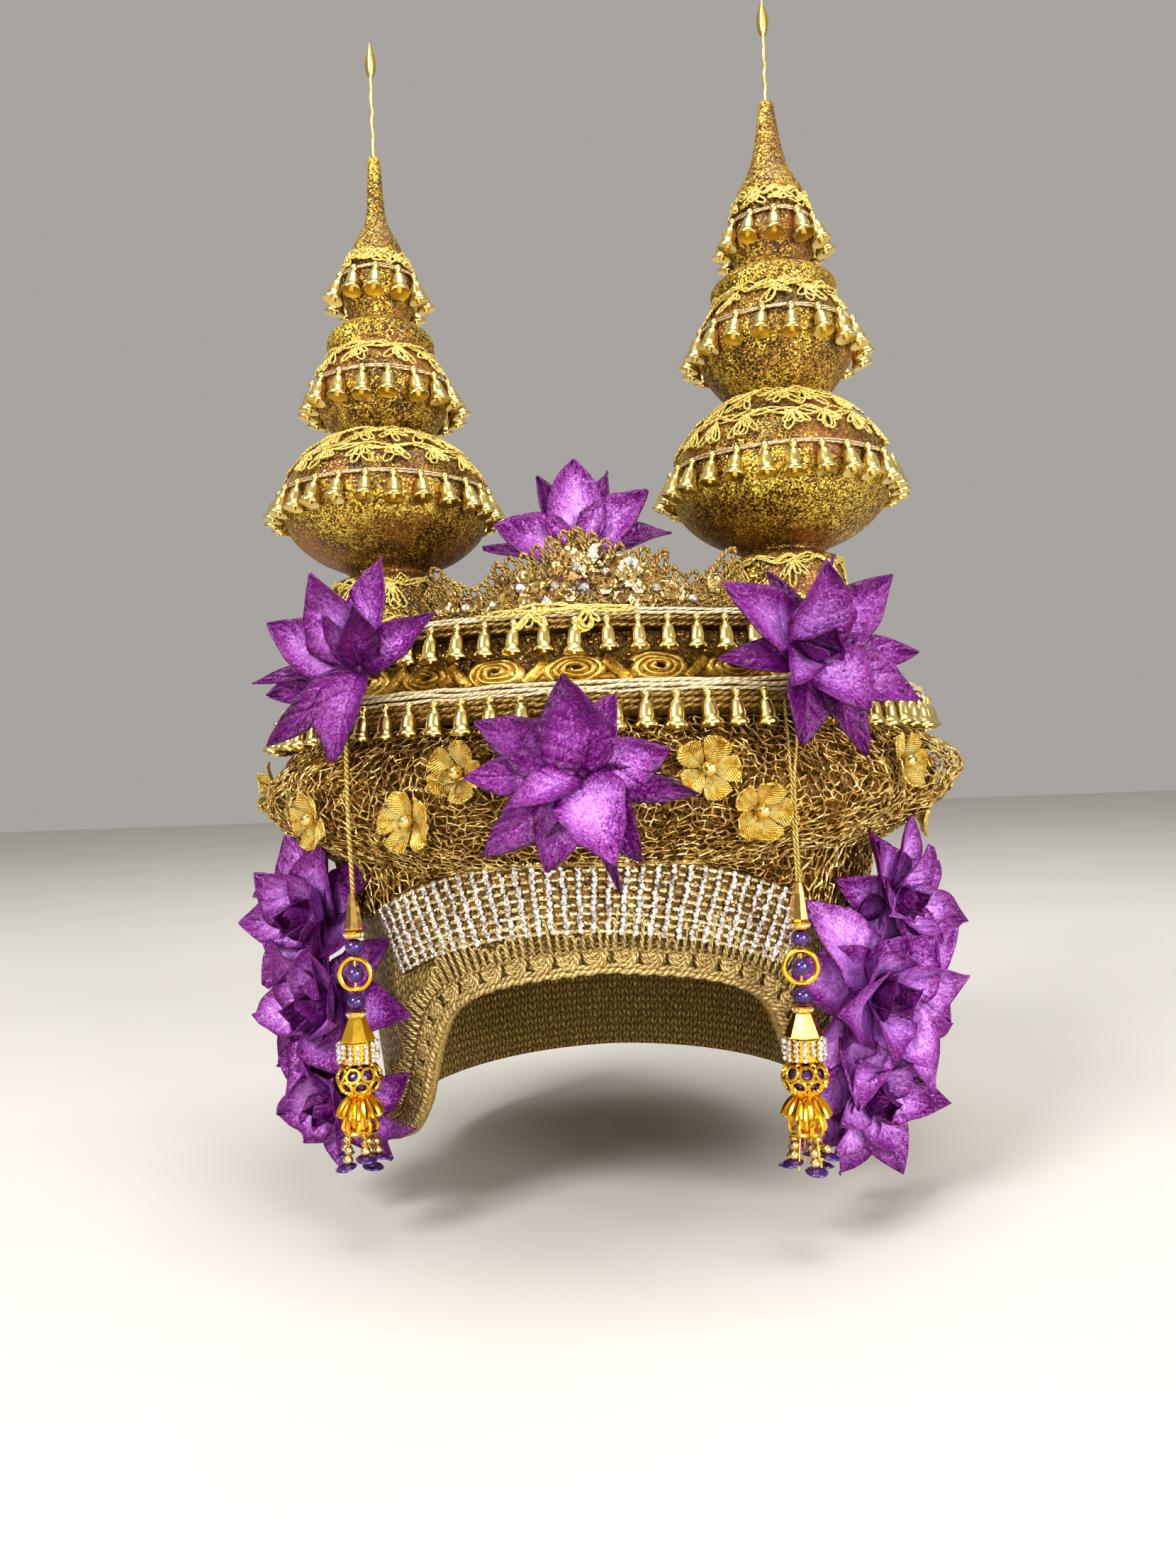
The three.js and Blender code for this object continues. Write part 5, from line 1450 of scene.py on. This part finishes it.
# Ribbon roses round the foot of the riser, slanted folds between them, beads on the wall

ribbon = {'roses': 26, 'height': 20.4, 'standOff': 7.0, 'turns': 3.1, 'fold': (4.6, 2.4, 12.5)}
wallBeads = {'count': 150, 'low': 24, 'high': 33, 'radius': 1.0}


def makeRose():
    # a ribbon on edge wound outwards, each turn steep inside and sloping outside; its tints paint shade at
    # each foot and light on each ridge
    parts = newParts()
    steps = 60
    for i in range(steps + 1):
        share = i / steps
        turn = share * tau * ribbon['turns']
        way = Vector((math.cos(turn), 0, math.sin(turn) * (1 - 0.22 * math.cos(turn) ** 2)))
        reach, crown = 0.3 + 4.3 * share, -3.0 + 2.0 * share + 0.35 * math.sin(turn * 2.3)
        for beyond, y in ((0, 0.4), (0.35, crown), (1.0, crown + 0.45), (1.75, 0.9)):
            parts['points'].append(way * (reach + beyond) + Vector((0, y, 0)))
        # painted shade at the feet, painted highlight on the ridge
        parts['tints'] += [0.1, 1.0, 0.8, 0.2]
    parts['faces'] = turnedOver(gridFaces(0, 3, steps))
    strip = [(k / 3, k / 3 + 0.33) for k in range(3)]
    parts['uvs'] = [((a, 0.3), (a, 0.4), (b, 0.4), (b, 0.3)) for a, b in strip] * steps
    return pieceFrom(parts)


def makeRibbon():
    rose = makeRose()
    fold = bevelledBar(ribbon['fold'], 1.0, 2)
    dice = random.Random(12)
    roses, folds = [], []
    for i in range(2 * ribbon['roses']):
        angle = tau * (i + 0.35) / (2 * ribbon['roses'])
        place, out = onBoard(boards['riser'], angle, ribbon['height'], ribbon['standOff'])
        facing = (out + up * 0.3).normalized()
        across = up.cross(out)
        rise = facing.cross(across)
        if i % 2:
            lean = rise * 0.7 + across * (0.7 if (i // 2) % 2 else -0.7)
            folds.append(standAt(place + out * 0.6 - up * 0.5, lean, across, dice.uniform(0.85, 1.05)))
        else:
            turn = Matrix((across * 2.0, -facing * 1.0, rise * 1.05)).transposed().to_4x4()
            roses.append(Matrix.Translation(place) @ turn @ Matrix.Rotation(dice.uniform(0, tau), 4, 'Y'))
    made = newParts()
    addCopies(made, rose, roses, dice)
    addCopies(made, fold, folds, dice)
    takeOut(rose, fold)
    layCord(made, ringStops(boards['riser'], 5.6, 18.0, 0.6, 2.0, 120), 2.6, 6, True, 0.2)
    return pieceFrom(made)


def makeWallBeads():
    bead = ballAt(wallBeads['radius'], 0, 8, 6)
    dice = random.Random(44)
    places = []
    for i in range(wallBeads['count']):
        angle, z = dice.uniform(0, tau), dice.uniform(wallBeads['low'], wallBeads['high'])
        place, out = onBoard(boards['riser'], angle, z, 0.9)
        places.append(standAt(place, out, up, dice.uniform(0.6, 1.25)))
    piece = copiesOf(bead, places, dice)
    takeOut(bead)
    return piece


wear(makeRibbon(), 'ribbonRoses', 'ribbon', ['rosette_trim'])
wear(makeWallBeads(), 'riserBeads', 'bright')
print('ribbon done')

# Crest: a lace ground, curls of twisted cord, sequins, stones and picot loops

crest = {
    'wide': 105, 'deep': 90.5, 'foot': 41.3, 'centreX': 2, 'reach': 53,
    'line': smoothTable(((-53, 7), (-47, 14), (-40, 9), (-33, 10), (-27, 15), (-18, 18), (-9, 22), (0, 26),
                         (9, 22), (18, 18), (27, 15), (33, 10), (40, 9), (47, 14), (53, 7)), 4),  # x, height
    'cellWide': 2.0, 'cellTall': 1.75, 'cellRows': 15, 'cellReach': 27, 'thread': 0.9,
    'picots': ((-1, 21, 5.2, 7), (-7.5, 19, 4, 5.5), (5, 19, 4, 5.5), (-27, 13, 5, 5), (21, 15, 4.6, 6),
               (26.5, 13, 5.2, 7), (30, 9, 4.5, 5), (-48, 12, 6, 8), (-44, 8, 4.5, 6), (47, 12, 5.5, 9),
               (50, 8, 4.5, 7)),  # the tall loops that break the outline: x, height, width, rise
    'curls': 230, 'sequins': 95,
    'rows': ((0.8, 1.4), (2.4, 1.8), (4.2, 1.5)),  # height and lift of the cords along its foot
    'stones': ((-0.5, 15), (9, 13), (-11, 3.5), (17, 16), (-20, 9), (-8, 9), (26, 7), (2, 8), (-30, 4),
               (38, 3), (-40, 4)),  # x, height
    'sequin': ((-0.15, 2.4), (0.0, 2.8), (0.15, 2.6), (0.05, 0.8)),  # height, radius
    'stone': ((-0.6, 1.5), (0.2, 1.6), (0.5, 1.5), (1.1, 0.9)),
}


def onCrest(x, rise, lift=0.0):
    angle = math.asin(max(-1, min(1, x / crest['wide'])))
    return onOval(crest['wide'], crest['deep'], angle, crest['foot'] + rise, lift, crest['centreX'])


def makeCrestGround():
    # small six-sided cells up to the crest's top line
    dice = random.Random(8)
    wide, tall = crest['cellWide'], crest['cellTall']

    def corner(x, y):
        jolt = Vector((dice.uniform(-0.2, 0.2), 0, dice.uniform(-0.2, 0.2)))
        return onCrest(x * wide, y * tall, dice.uniform(-0.3, 0.3))[0] + jolt

    cells = []
    for j in range(crest['cellRows']):
        for i in range(-crest['cellReach'], crest['cellReach'] + 1):
            x = i + 0.5 * (j % 2)
            below = (j + 0.4) * tall + 0.4 < tableAt(crest['line'], x * wide) - 1.2
            if below and abs(x * wide) < crest['reach']:
                cells.append((x, j + 0.7))
    return laceFrom(cells, corner, crest['thread'])


def picot(x, rise, wide, tall, lean, lift):
    # an open loop that stands on the crest: foot, side, top, side, foot
    stops = []
    for i in range(25):
        turn = math.pi * (-0.12 + 1.24 * i / 24)
        a = -wide / 2 * math.cos(turn) * (0.75 + 0.35 * math.sin(turn))
        h = tall * max(math.sin(turn), -0.1)
        stops.append(onCrest(x + a + lean * h, rise + h, lift + 0.3 * math.sin(i)))
    return stops


def curl(x, rise, wide, tall, lean, lift):
    # a closed loop that lies on the crest
    stops = []
    for i in range(13):
        turn = math.pi * (0.5 + 2 * i / 12)
        a = -wide / 2 * math.cos(turn)
        h = tall * (0.5 + 0.5 * math.sin(turn))
        stops.append(onCrest(x + a + lean * h, rise + h, lift + 0.3 * math.sin(i)))
    return stops


def makeCrestCords():
    parts = newParts()
    dice = random.Random(17)

    def addPicot(stops, radius):
        beads = [radius * (1.25 if i % 2 else 0.7) for i in range(len(stops))]
        layCord(parts, stops, beads, 5, False, dice.uniform(0.3, 1))

    for x, rise in crest['line'][::2]:
        wide, tall = dice.uniform(3.6, 5), dice.uniform(4, 6.5)
        addPicot(picot(x, rise - 2.5, wide, tall, 0.012 * x, dice.uniform(0, 1)), 0.75)
    for x, rise, wide, tall in crest['picots']:
        addPicot(picot(x, rise, wide, tall, 0.014 * x, 0.6), 0.85)
    for n in range(crest['curls']):
        x = dice.uniform(-52, 52)
        rise = dice.uniform(0.0, max(1.0, tableAt(crest['line'], x) - 4.5))
        wide = dice.uniform(2.2, 4.2)
        tall = wide * dice.uniform(0.8, 1.2)
        stops = curl(x, rise, wide, tall, dice.uniform(-0.5, 0.5), dice.uniform(0.4, 1.8))
        layCord(parts, stops, 0.5, 5, False, dice.uniform(0.3, 1))
    for rise, lift in crest['rows']:
        stops = []
        for i in range(110):
            x = blend(-crest['reach'], crest['reach'], i / 109)
            wave = i * 1.3
            stops.append(onCrest(x, rise + 0.7 * math.sin(wave + rise), lift + 0.3 * math.cos(wave)))
        layCord(parts, stops, 0.75, 6, False, 0.6)
    return pieceFrom(parts)


def makeCrestStones():
    sequin = turned(crest['sequin'], 6)
    stone = turned(crest['stone'], 8)
    dice = random.Random(23)
    discs, stones = [], []
    for n in range(crest['sequins']):
        x = dice.uniform(-50, 50) if n % 2 else dice.gauss(0, 16)
        rise = dice.uniform(1.5, max(2.5, tableAt(crest['line'], x) - 3))
        place, out = onCrest(x, rise, 2.0)
        tilt = out + anyWay(dice) * 0.55
        discs.append(standAt(place, tilt, up, dice.uniform(0.8, 1.25)))
    for x, rise in crest['stones']:
        place, out = onCrest(x, rise, 2.4)
        stones.append(standAt(place, out + up * 0.2, up, dice.uniform(0.95, 1.3)))
    pieces = copiesOf(sequin, discs, dice, False), copiesOf(stone, stones, dice, False)
    takeOut(sequin, stone)
    return pieces


wear(makeCrestGround(), 'crestGround', 'crestLace', ['crest'])
wear(makeCrestCords(), 'crestCords', 'crestCord')
crestSequins, crestStones = makeCrestStones()
wear(crestSequins, 'crestSequins', 'sequin')
wear(crestStones, 'crestStones', 'stone')

bows = {'knots': (-14, 4.5), 'loops': 9, 'ends': 6, 'radius': 0.45, 'height': 39.5, 'endHeight': 40.2,
        'endsFrom': (-34, -12), 'endsTo': (2, 22)}


def makeBows():
    # two small bows of thin cord on the front of the upper board, with loose ends between
    parts = newParts()
    dice = random.Random(4)
    board = boards['tier']

    def onEdge(x, z, lift):
        return onBoard(board, math.asin((x - board['centreX']) / board['wide']), z, lift)

    for knot in bows['knots']:
        for n in range(bows['loops']):
            reach, lean = dice.uniform(3.5, 7), dice.uniform(-1.3, 1.3)
            stops = []
            for i in range(12):
                turn = tau * i / 12
                a = math.sin(turn) * reach * 0.35
                h = -reach * (0.5 - 0.5 * math.cos(turn))
                x = knot + a * math.cos(lean) + h * math.sin(lean)
                z = bows['height'] + h * math.cos(lean) + a * math.sin(lean)
                stops.append(onEdge(x, z, 2.6 + 0.12 * n))
            layCord(parts, stops, bows['radius'], 5, True, dice.uniform(0.5, 1))
    for n in range(bows['ends']):
        x0, x1 = dice.uniform(*bows['endsFrom']), dice.uniform(*bows['endsTo'])
        stops = []
        for i in range(24):
            share = i / 23
            bow = math.sin(share * math.pi) * dice.uniform(0.9, 1.1)
            z = bows['endHeight'] + bow * (n % 3) + 0.8 * math.sin(share * 9 + n)
            stops.append(onEdge(blend(x0, x1, share), z, 2.2 + 0.3 * (n % 2)))
        layCord(parts, stops, bows['radius'], 5, False, dice.uniform(0.5, 1))
    return pieceFrom(parts)


wear(makeBows(), 'cordBows', 'scroll')
print('crest done')

# Drops: beads strung below each cord, modelled once and set at both places

drop = {
    # turned pieces: rows of height and radius
    'cone': ((-65.1, 2.7), (-64.2, 3.2), (-56, 2.1), (-52.6, 1.3), (-52.1, 0.7)),
    'ringPin': ((-85.6, 0.4), (-74.6, 0.4)),
    'coneCap': ((-102.6, 6.2), (-102.2, 6.3), (-95.6, 3.4), (-95.0, 3.1)),
    'sleeve': ((-109.9, 5.6), (-103.0, 5.6)),
    'ballRims': (((-121.0, 3.6), (-120.6, 4.2), (-120.2, 3.6)),
                 ((-111.0, 3.6), (-110.6, 4.2), (-110.2, 3.6))),
    'skirt': ((-127.6, 7.0), (-124.0, 5.2), (-122.2, 3.4), (-121.3, 2.0)),
    'core': ((-134.0, 3.2), (-127.6, 3.2)),
    'saucer': ((-0.9, 0.9), (-0.55, 2.6), (0, 3.7), (0.5, 2.7), (0.9, 0.9)),
    'stone': ((-0.35, 0.6), (0.1, 0.68), (0.45, 0.5), (0.62, 0.22)),
    'wheel': ((-2.4, 2.5), (-2.3, 3.2), (-1.9, 3.5), (-1.75, 3.1), (-0.65, 3.1), (-0.5, 3.5), (-0.1, 3.2),
              (0, 2.5)),
    'pearls': ((3.1, -70.7, 0.9), (3.0, -80.1, 1.0), (3.1, -89.5, 0.9)),  # radius, height, squash
    'rondelles': (-65.2, -92.6), 'ringHeight': -80.1, 'ring': (5.35, 0.95), 'ball': (6.3, -115.6, 0.8),
    'collar': {'round': 15, 'reach': 6.6, 'top': -103.9, 'step': 1.75, 'size': 1.35},
    'flutes': 18, 'ribs': 9, 'lowRing': (5.4, 0.7), 'lowRingHeight': -133.6,
    'dangleTop': -134.3, 'beadStep': 3.1, 'beadRadius': 1.75,
    'ballRings': ((8, 2.0, 6.5, 0, 2.25), (8, -2.0, 6.5, 0.5, 2.25), (7, 4.6, 4.2, 0.2, 1.6),
                  (7, -4.6, 4.2, 0.7, 1.6)),  # rings, height, reach, turn, radius
    'flute': ((2.0, -121.4), (3.8, -122.2), (5.6, -124.0), (7.0, -126.2), (7.7, -128.0)),  # reach, height
    'fluteRadius': [0.5, 0.7, 0.85, 0.95, 0.8],
    'rib': ((3.2, -127.4), (5.4, -129.6), (5.9, -132.0), (4.9, -134.1)),
    'dangles': ((20, 9.0, 4.4), (95, 11.2, 4.8), (165, 8.4, 5.0), (235, 10.4, 4.6), (300, 7.4, 5.2),
                (330, 11.0, 3.0)),  # turn, length, reach
}


def ringAt(major, minor, matrix, sides=8, steps=20):
    parts = newParts()
    path = [spoke(tau * i / steps) * major for i in range(steps)]
    outs = [(matrix.to_3x3() @ p).normalized() for p in path]
    addTube(parts, [matrix @ p for p in path], outs, minor, sides, True, 0.6)
    return pieceFrom(parts)


def rondelle(top, parts, stones):
    # a plated wheel with a row of tiny stones let into its edge
    wheel = turned([(top + z, r) for z, r in drop['wheel']], 20)
    addCopies(parts, wheel, [Matrix()], random.Random(1))
    takeOut(wheel)
    for i in range(11):
        out = spoke(tau * i / 11)
        stones.append(standAt(out * 3.0 + up * (top - 1.2), out, up))


def makeDrop():
    made = {kind: newParts() for kind in ('bright', 'champagne', 'violet', 'stone', 'paleBead')}
    bright = made['bright']
    stonePlaces = []
    dice = random.Random(6)

    def put(kind, *sources):
        for source in sources:
            addCopies(made[kind], source, [Matrix()], dice)
        takeOut(*sources)

    # faceted cone under the cord, three pearls and the ring round the middle one
    put('champagne', turned(drop['cone'], 8))
    rondelle(drop['rondelles'][0], bright, stonePlaces)
    put('violet', *[ballAt(radius, z, 24, 16, squash) for radius, z, squash in drop['pearls']])
    flat = Matrix.Translation((0, 0, drop['ringHeight'])) @ Matrix.Rotation(math.pi / 2, 4, 'X')
    put('bright', ringAt(*drop['ring'], flat, 10, 36))
    put('bright', turned(drop['ringPin'], 6))
    rondelle(drop['rondelles'][1], bright, stonePlaces)
    # eight-panelled cone and the sleeve under the stone collar
    put('bright', turned(drop['coneCap'], 8))
    put('bright', turned(drop['sleeve'], 24))
    collar = drop['collar']
    for i in range(collar['round']):
        out = spoke(tau * i / collar['round'])
        for j in range(4 if i % 5 else 3):
            place = out * collar['reach'] + up * (collar['top'] - j * collar['step'])
            stonePlaces.append(standAt(place, out, up, collar['size']))
    # openwork ball: rings laid round a violet bead
    ballRadius, ballHeight, squash = drop['ball']
    put('violet', ballAt(ballRadius, ballHeight, 24, 16, squash))
    for count, height, reach, first, radius in drop['ballRings']:
        for i in range(count):
            away = spoke(tau * (i + first) / count) * reach
            place = away + up * (ballHeight + height)
            put('bright', ringAt(radius, 0.6, standAt(place, away + up * height * 1.35, up), 6, 14))
    put('bright', *[turned(rows, 20) for rows in drop['ballRims']])
    # fluted skirt, then the ribs of the pierced cap below it
    for i in range(drop['flutes']):
        out = spoke(tau * i / drop['flutes'])
        path = [out * r + up * z for r, z in drop['flute']]
        addTube(bright, path, [out] * len(path), drop['fluteRadius'], 6, False, dice.uniform(0.4, 1))
    put('bright', turned(drop['skirt'], 24))
    for i in range(drop['ribs']):
        out = spoke(tau * i / drop['ribs'])
        path = [out * r + up * z for r, z in drop['rib']]
        addTube(bright, path, [out] * len(path), 0.75, 6, False, dice.uniform(0.4, 1))
    low = Matrix.Translation((0, 0, drop['lowRingHeight']))
    put('bright', ringAt(*drop['lowRing'], low, 6, 20), turned(drop['core'], 12))
    # dangles: pale beads that end in a violet saucer
    beads, saucers = [], []
    for turn, length, reach in drop['dangles']:
        out = spoke(math.radians(turn))
        foot = up * drop['dangleTop'] + out * reach
        lean = (up + out * -0.16).normalized()
        saucers.append(standAt(foot - lean * length + out * 0.6, lean + out * 0.35, out))
        for k in range(int((length - 1.6) / drop['beadStep'])):
            below = length - 2.4 - drop['beadStep'] * k
            beads.append(standAt(foot - lean * below, lean, out, 0.88 if k else 1.0))
        addTube(bright, [foot + up * 0.6, foot - lean * length], [out] * 2, 0.3, 5, False, 0.5)
    models = ballAt(drop['beadRadius'], 0, 14, 10), turned(drop['saucer'], 20), turned(drop['stone'], 7)
    for kind, model, places in zip(('paleBead', 'violet', 'stone'), models, (beads, saucers, stonePlaces)):
        addCopies(made[kind], model, places, dice)
    takeOut(*models)
    return made


dropPieces = {
    # slot, and the nodes that pieces of a finish replace on each side
    'bright': ('bead_gold', ('drop_ring', 'drop_cone_cap', 'drop_openwork_ball', 'drop_tassel')),
    'champagne': ('bead_gold', ('drop_cone_bead',)),
    'violet': ('violet_pearl', ('drop_pearl_upper', 'drop_pearl_lower')),
    'stone': ('crystal_beads', ('drop_crystal_collar',)),
    'paleBead': ('bead_gold', ()),
}
for kind, parts in makeDrop().items():
    slot, nodes = dropPieces[kind]
    for side, place in dropPlace.items():
        piece = pieceFrom(parts, kind not in ('stone', 'champagne'))
        if kind == 'bright':
            smoothByAngle(piece, 35)
        turn = 0.9 if side == 'right' and kind != 'bright' else 0.0  # the right drop hangs turned
        piece.data.transform(Matrix.Translation(place) @ Matrix.Rotation(turn, 4, 'Z'))
        wear(piece, side + 'Drop' + kind.title(), kind, [side + '_' + node for node in nodes])
print('drops done')

# Cords that carry the drops: one laid cord on the left, two thin strands that meet on the right

cordRoutes = {
    # side, start beside the middle, share of its length where it joins the middle, radius
    'leftDropCord': ('left', 0.0, 0.0, 0.85), 'rightDropCordInner': ('right', -2.7, 0.46, 0.5),
    'rightDropCordOuter': ('right', 2.7, 0.46, 0.5),
}
cordTop, cordFoot, cordSteps = 10.2, -52.4, 25
for name, (side, apart, meet, radius) in cordRoutes.items():
    place = dropPlace[side]
    path = []
    for i in range(cordSteps + 1):
        share = i / cordSteps
        beside = 0.35 * math.sin(share * 5 + place.x)
        if meet:
            beside += apart * max(0, 1 - share / meet) + math.copysign(0.5, apart) * min(1, share / meet)
        path.append(place + Vector((beside, 0, blend(cordTop, cordFoot, share))))
    cordParts = newParts()
    addTube(cordParts, path, [Vector((0, -1, 0))] * len(path), radius, 8, False, 0.7)
    cord = wear(pieceFrom(cordParts), name, 'cord', [side + '_drop_cord'])
print('cords done')

# Camera at the angle of the photograph, soft studio light, pale floor

cameraLook = {'place': (0.0397, -0.4784, -0.018), 'yaw': math.radians(5.5), 'roll': math.radians(2.2),
              'sensor': 36, 'focal': 1600 / 2212}  # focal length as a share of the picture's height
lights = {
    # place, target, width, watts
    'keyLight': ((-1.3, -1.9, 1.7), (0, -0.05, 0.05), 0.9, 58),
    'fillLight': ((1.8, -1.7, 0.6), (0, -0.05, 0.0), 1.2, 48),
    'topLight': ((0.2, -0.2, 2.2), (0, 0, 0.1), 1.2, 24),
    'lowLight': ((0.2, -2.0, -0.05), (0, 0, 0.0), 1.0, 13),
}
room = {
    'strength': 0.48, 'backdrop': (0.74, 0.71, 0.68),
    # what the metal mirrors, from straight down to straight up
    'dome': ((0.0, (0.2, 0.15, 0.1)), (0.46, (0.24, 0.19, 0.14)), (0.62, (0.8, 0.76, 0.7)),
             (1.0, (1.0, 1.0, 0.98))),
    'floorHeight': -0.175, 'floorSize': 12,
    'floorTones': ((0.3, (0.6, 0.57, 0.53)), (0.7, (0.64, 0.61, 0.57))),
}


def addThing(name, data):
    thing = bpy.data.objects.new(name, data)
    bpy.context.collection.objects.link(thing)
    return thing


cameraData = bpy.data.cameras.new('camera')
cameraData.lens = cameraLook['focal'] * cameraLook['sensor']
cameraData.sensor_width = cameraLook['sensor']
cameraData.clip_start = 0.01
camera = addThing('camera', cameraData)
yaw, roll = cameraLook['yaw'], cameraLook['roll']
levelRight = Vector((math.cos(yaw), math.sin(yaw), 0))
ahead = Vector((-math.sin(yaw), math.cos(yaw), 0))
tiltUp = up * math.cos(roll) + levelRight * math.sin(roll)
tiltRight = levelRight * math.cos(roll) - up * math.sin(roll)
cameraTurn = Matrix((tiltRight, tiltUp, -ahead)).transposed().to_4x4()
camera.matrix_world = Matrix.Translation(cameraLook['place']) @ cameraTurn
bpy.context.scene.camera = camera
bpy.context.scene.view_settings.view_transform = 'Standard'
bpy.context.scene.view_settings.look = 'Medium High Contrast'

for name, (place, target, width, watts) in lights.items():
    lamp = bpy.data.lights.new(name, 'AREA')
    lamp.size = width
    lamp.energy = watts
    thing = addThing(name, lamp)
    thing.location = place
    thing.rotation_euler = (Vector(target) - Vector(place)).to_track_quat('-Z', 'Y').to_euler()

world = bpy.data.worlds.new('studio')
world.use_nodes = True
worldTree = world.node_tree
# a plain backdrop for the camera; what the metal mirrors is dim low down and bright overhead
facing = add(worldTree, 'SeparateXYZ')
plug(worldTree, facing, Vector=add(worldTree, 'TexCoord').outputs['Generated'])
height = calc(worldTree, 'ADD', times(worldTree, facing.outputs['Z'], 0.5), 0.5)
dome = ramp(worldTree, height, room['dome'])
seen = add(worldTree, 'LightPath').outputs['Is Camera Ray']
backdrop = worldTree.nodes['Background']
plug(worldTree, backdrop, Color=mixColour(worldTree, seen, dome, room['backdrop']))
backdrop.inputs['Strength'].default_value = room['strength']
bpy.context.scene.world = world

startMesh()
bpy.ops.mesh.primitive_plane_add(size=room['floorSize'], location=(0, 0, room['floorHeight']))
floor = bpy.context.object
floor.name = 'floor'
floorFinish, floorTree, floorShader = newFinish('paleFloor', Roughness=0.7)
plug(floorTree, floorShader, Base_Color=ramp(floorTree, noiseAt(floorTree, 3.0), room['floorTones']))
floor.data.materials.append(floorFinish)
print('stage done')
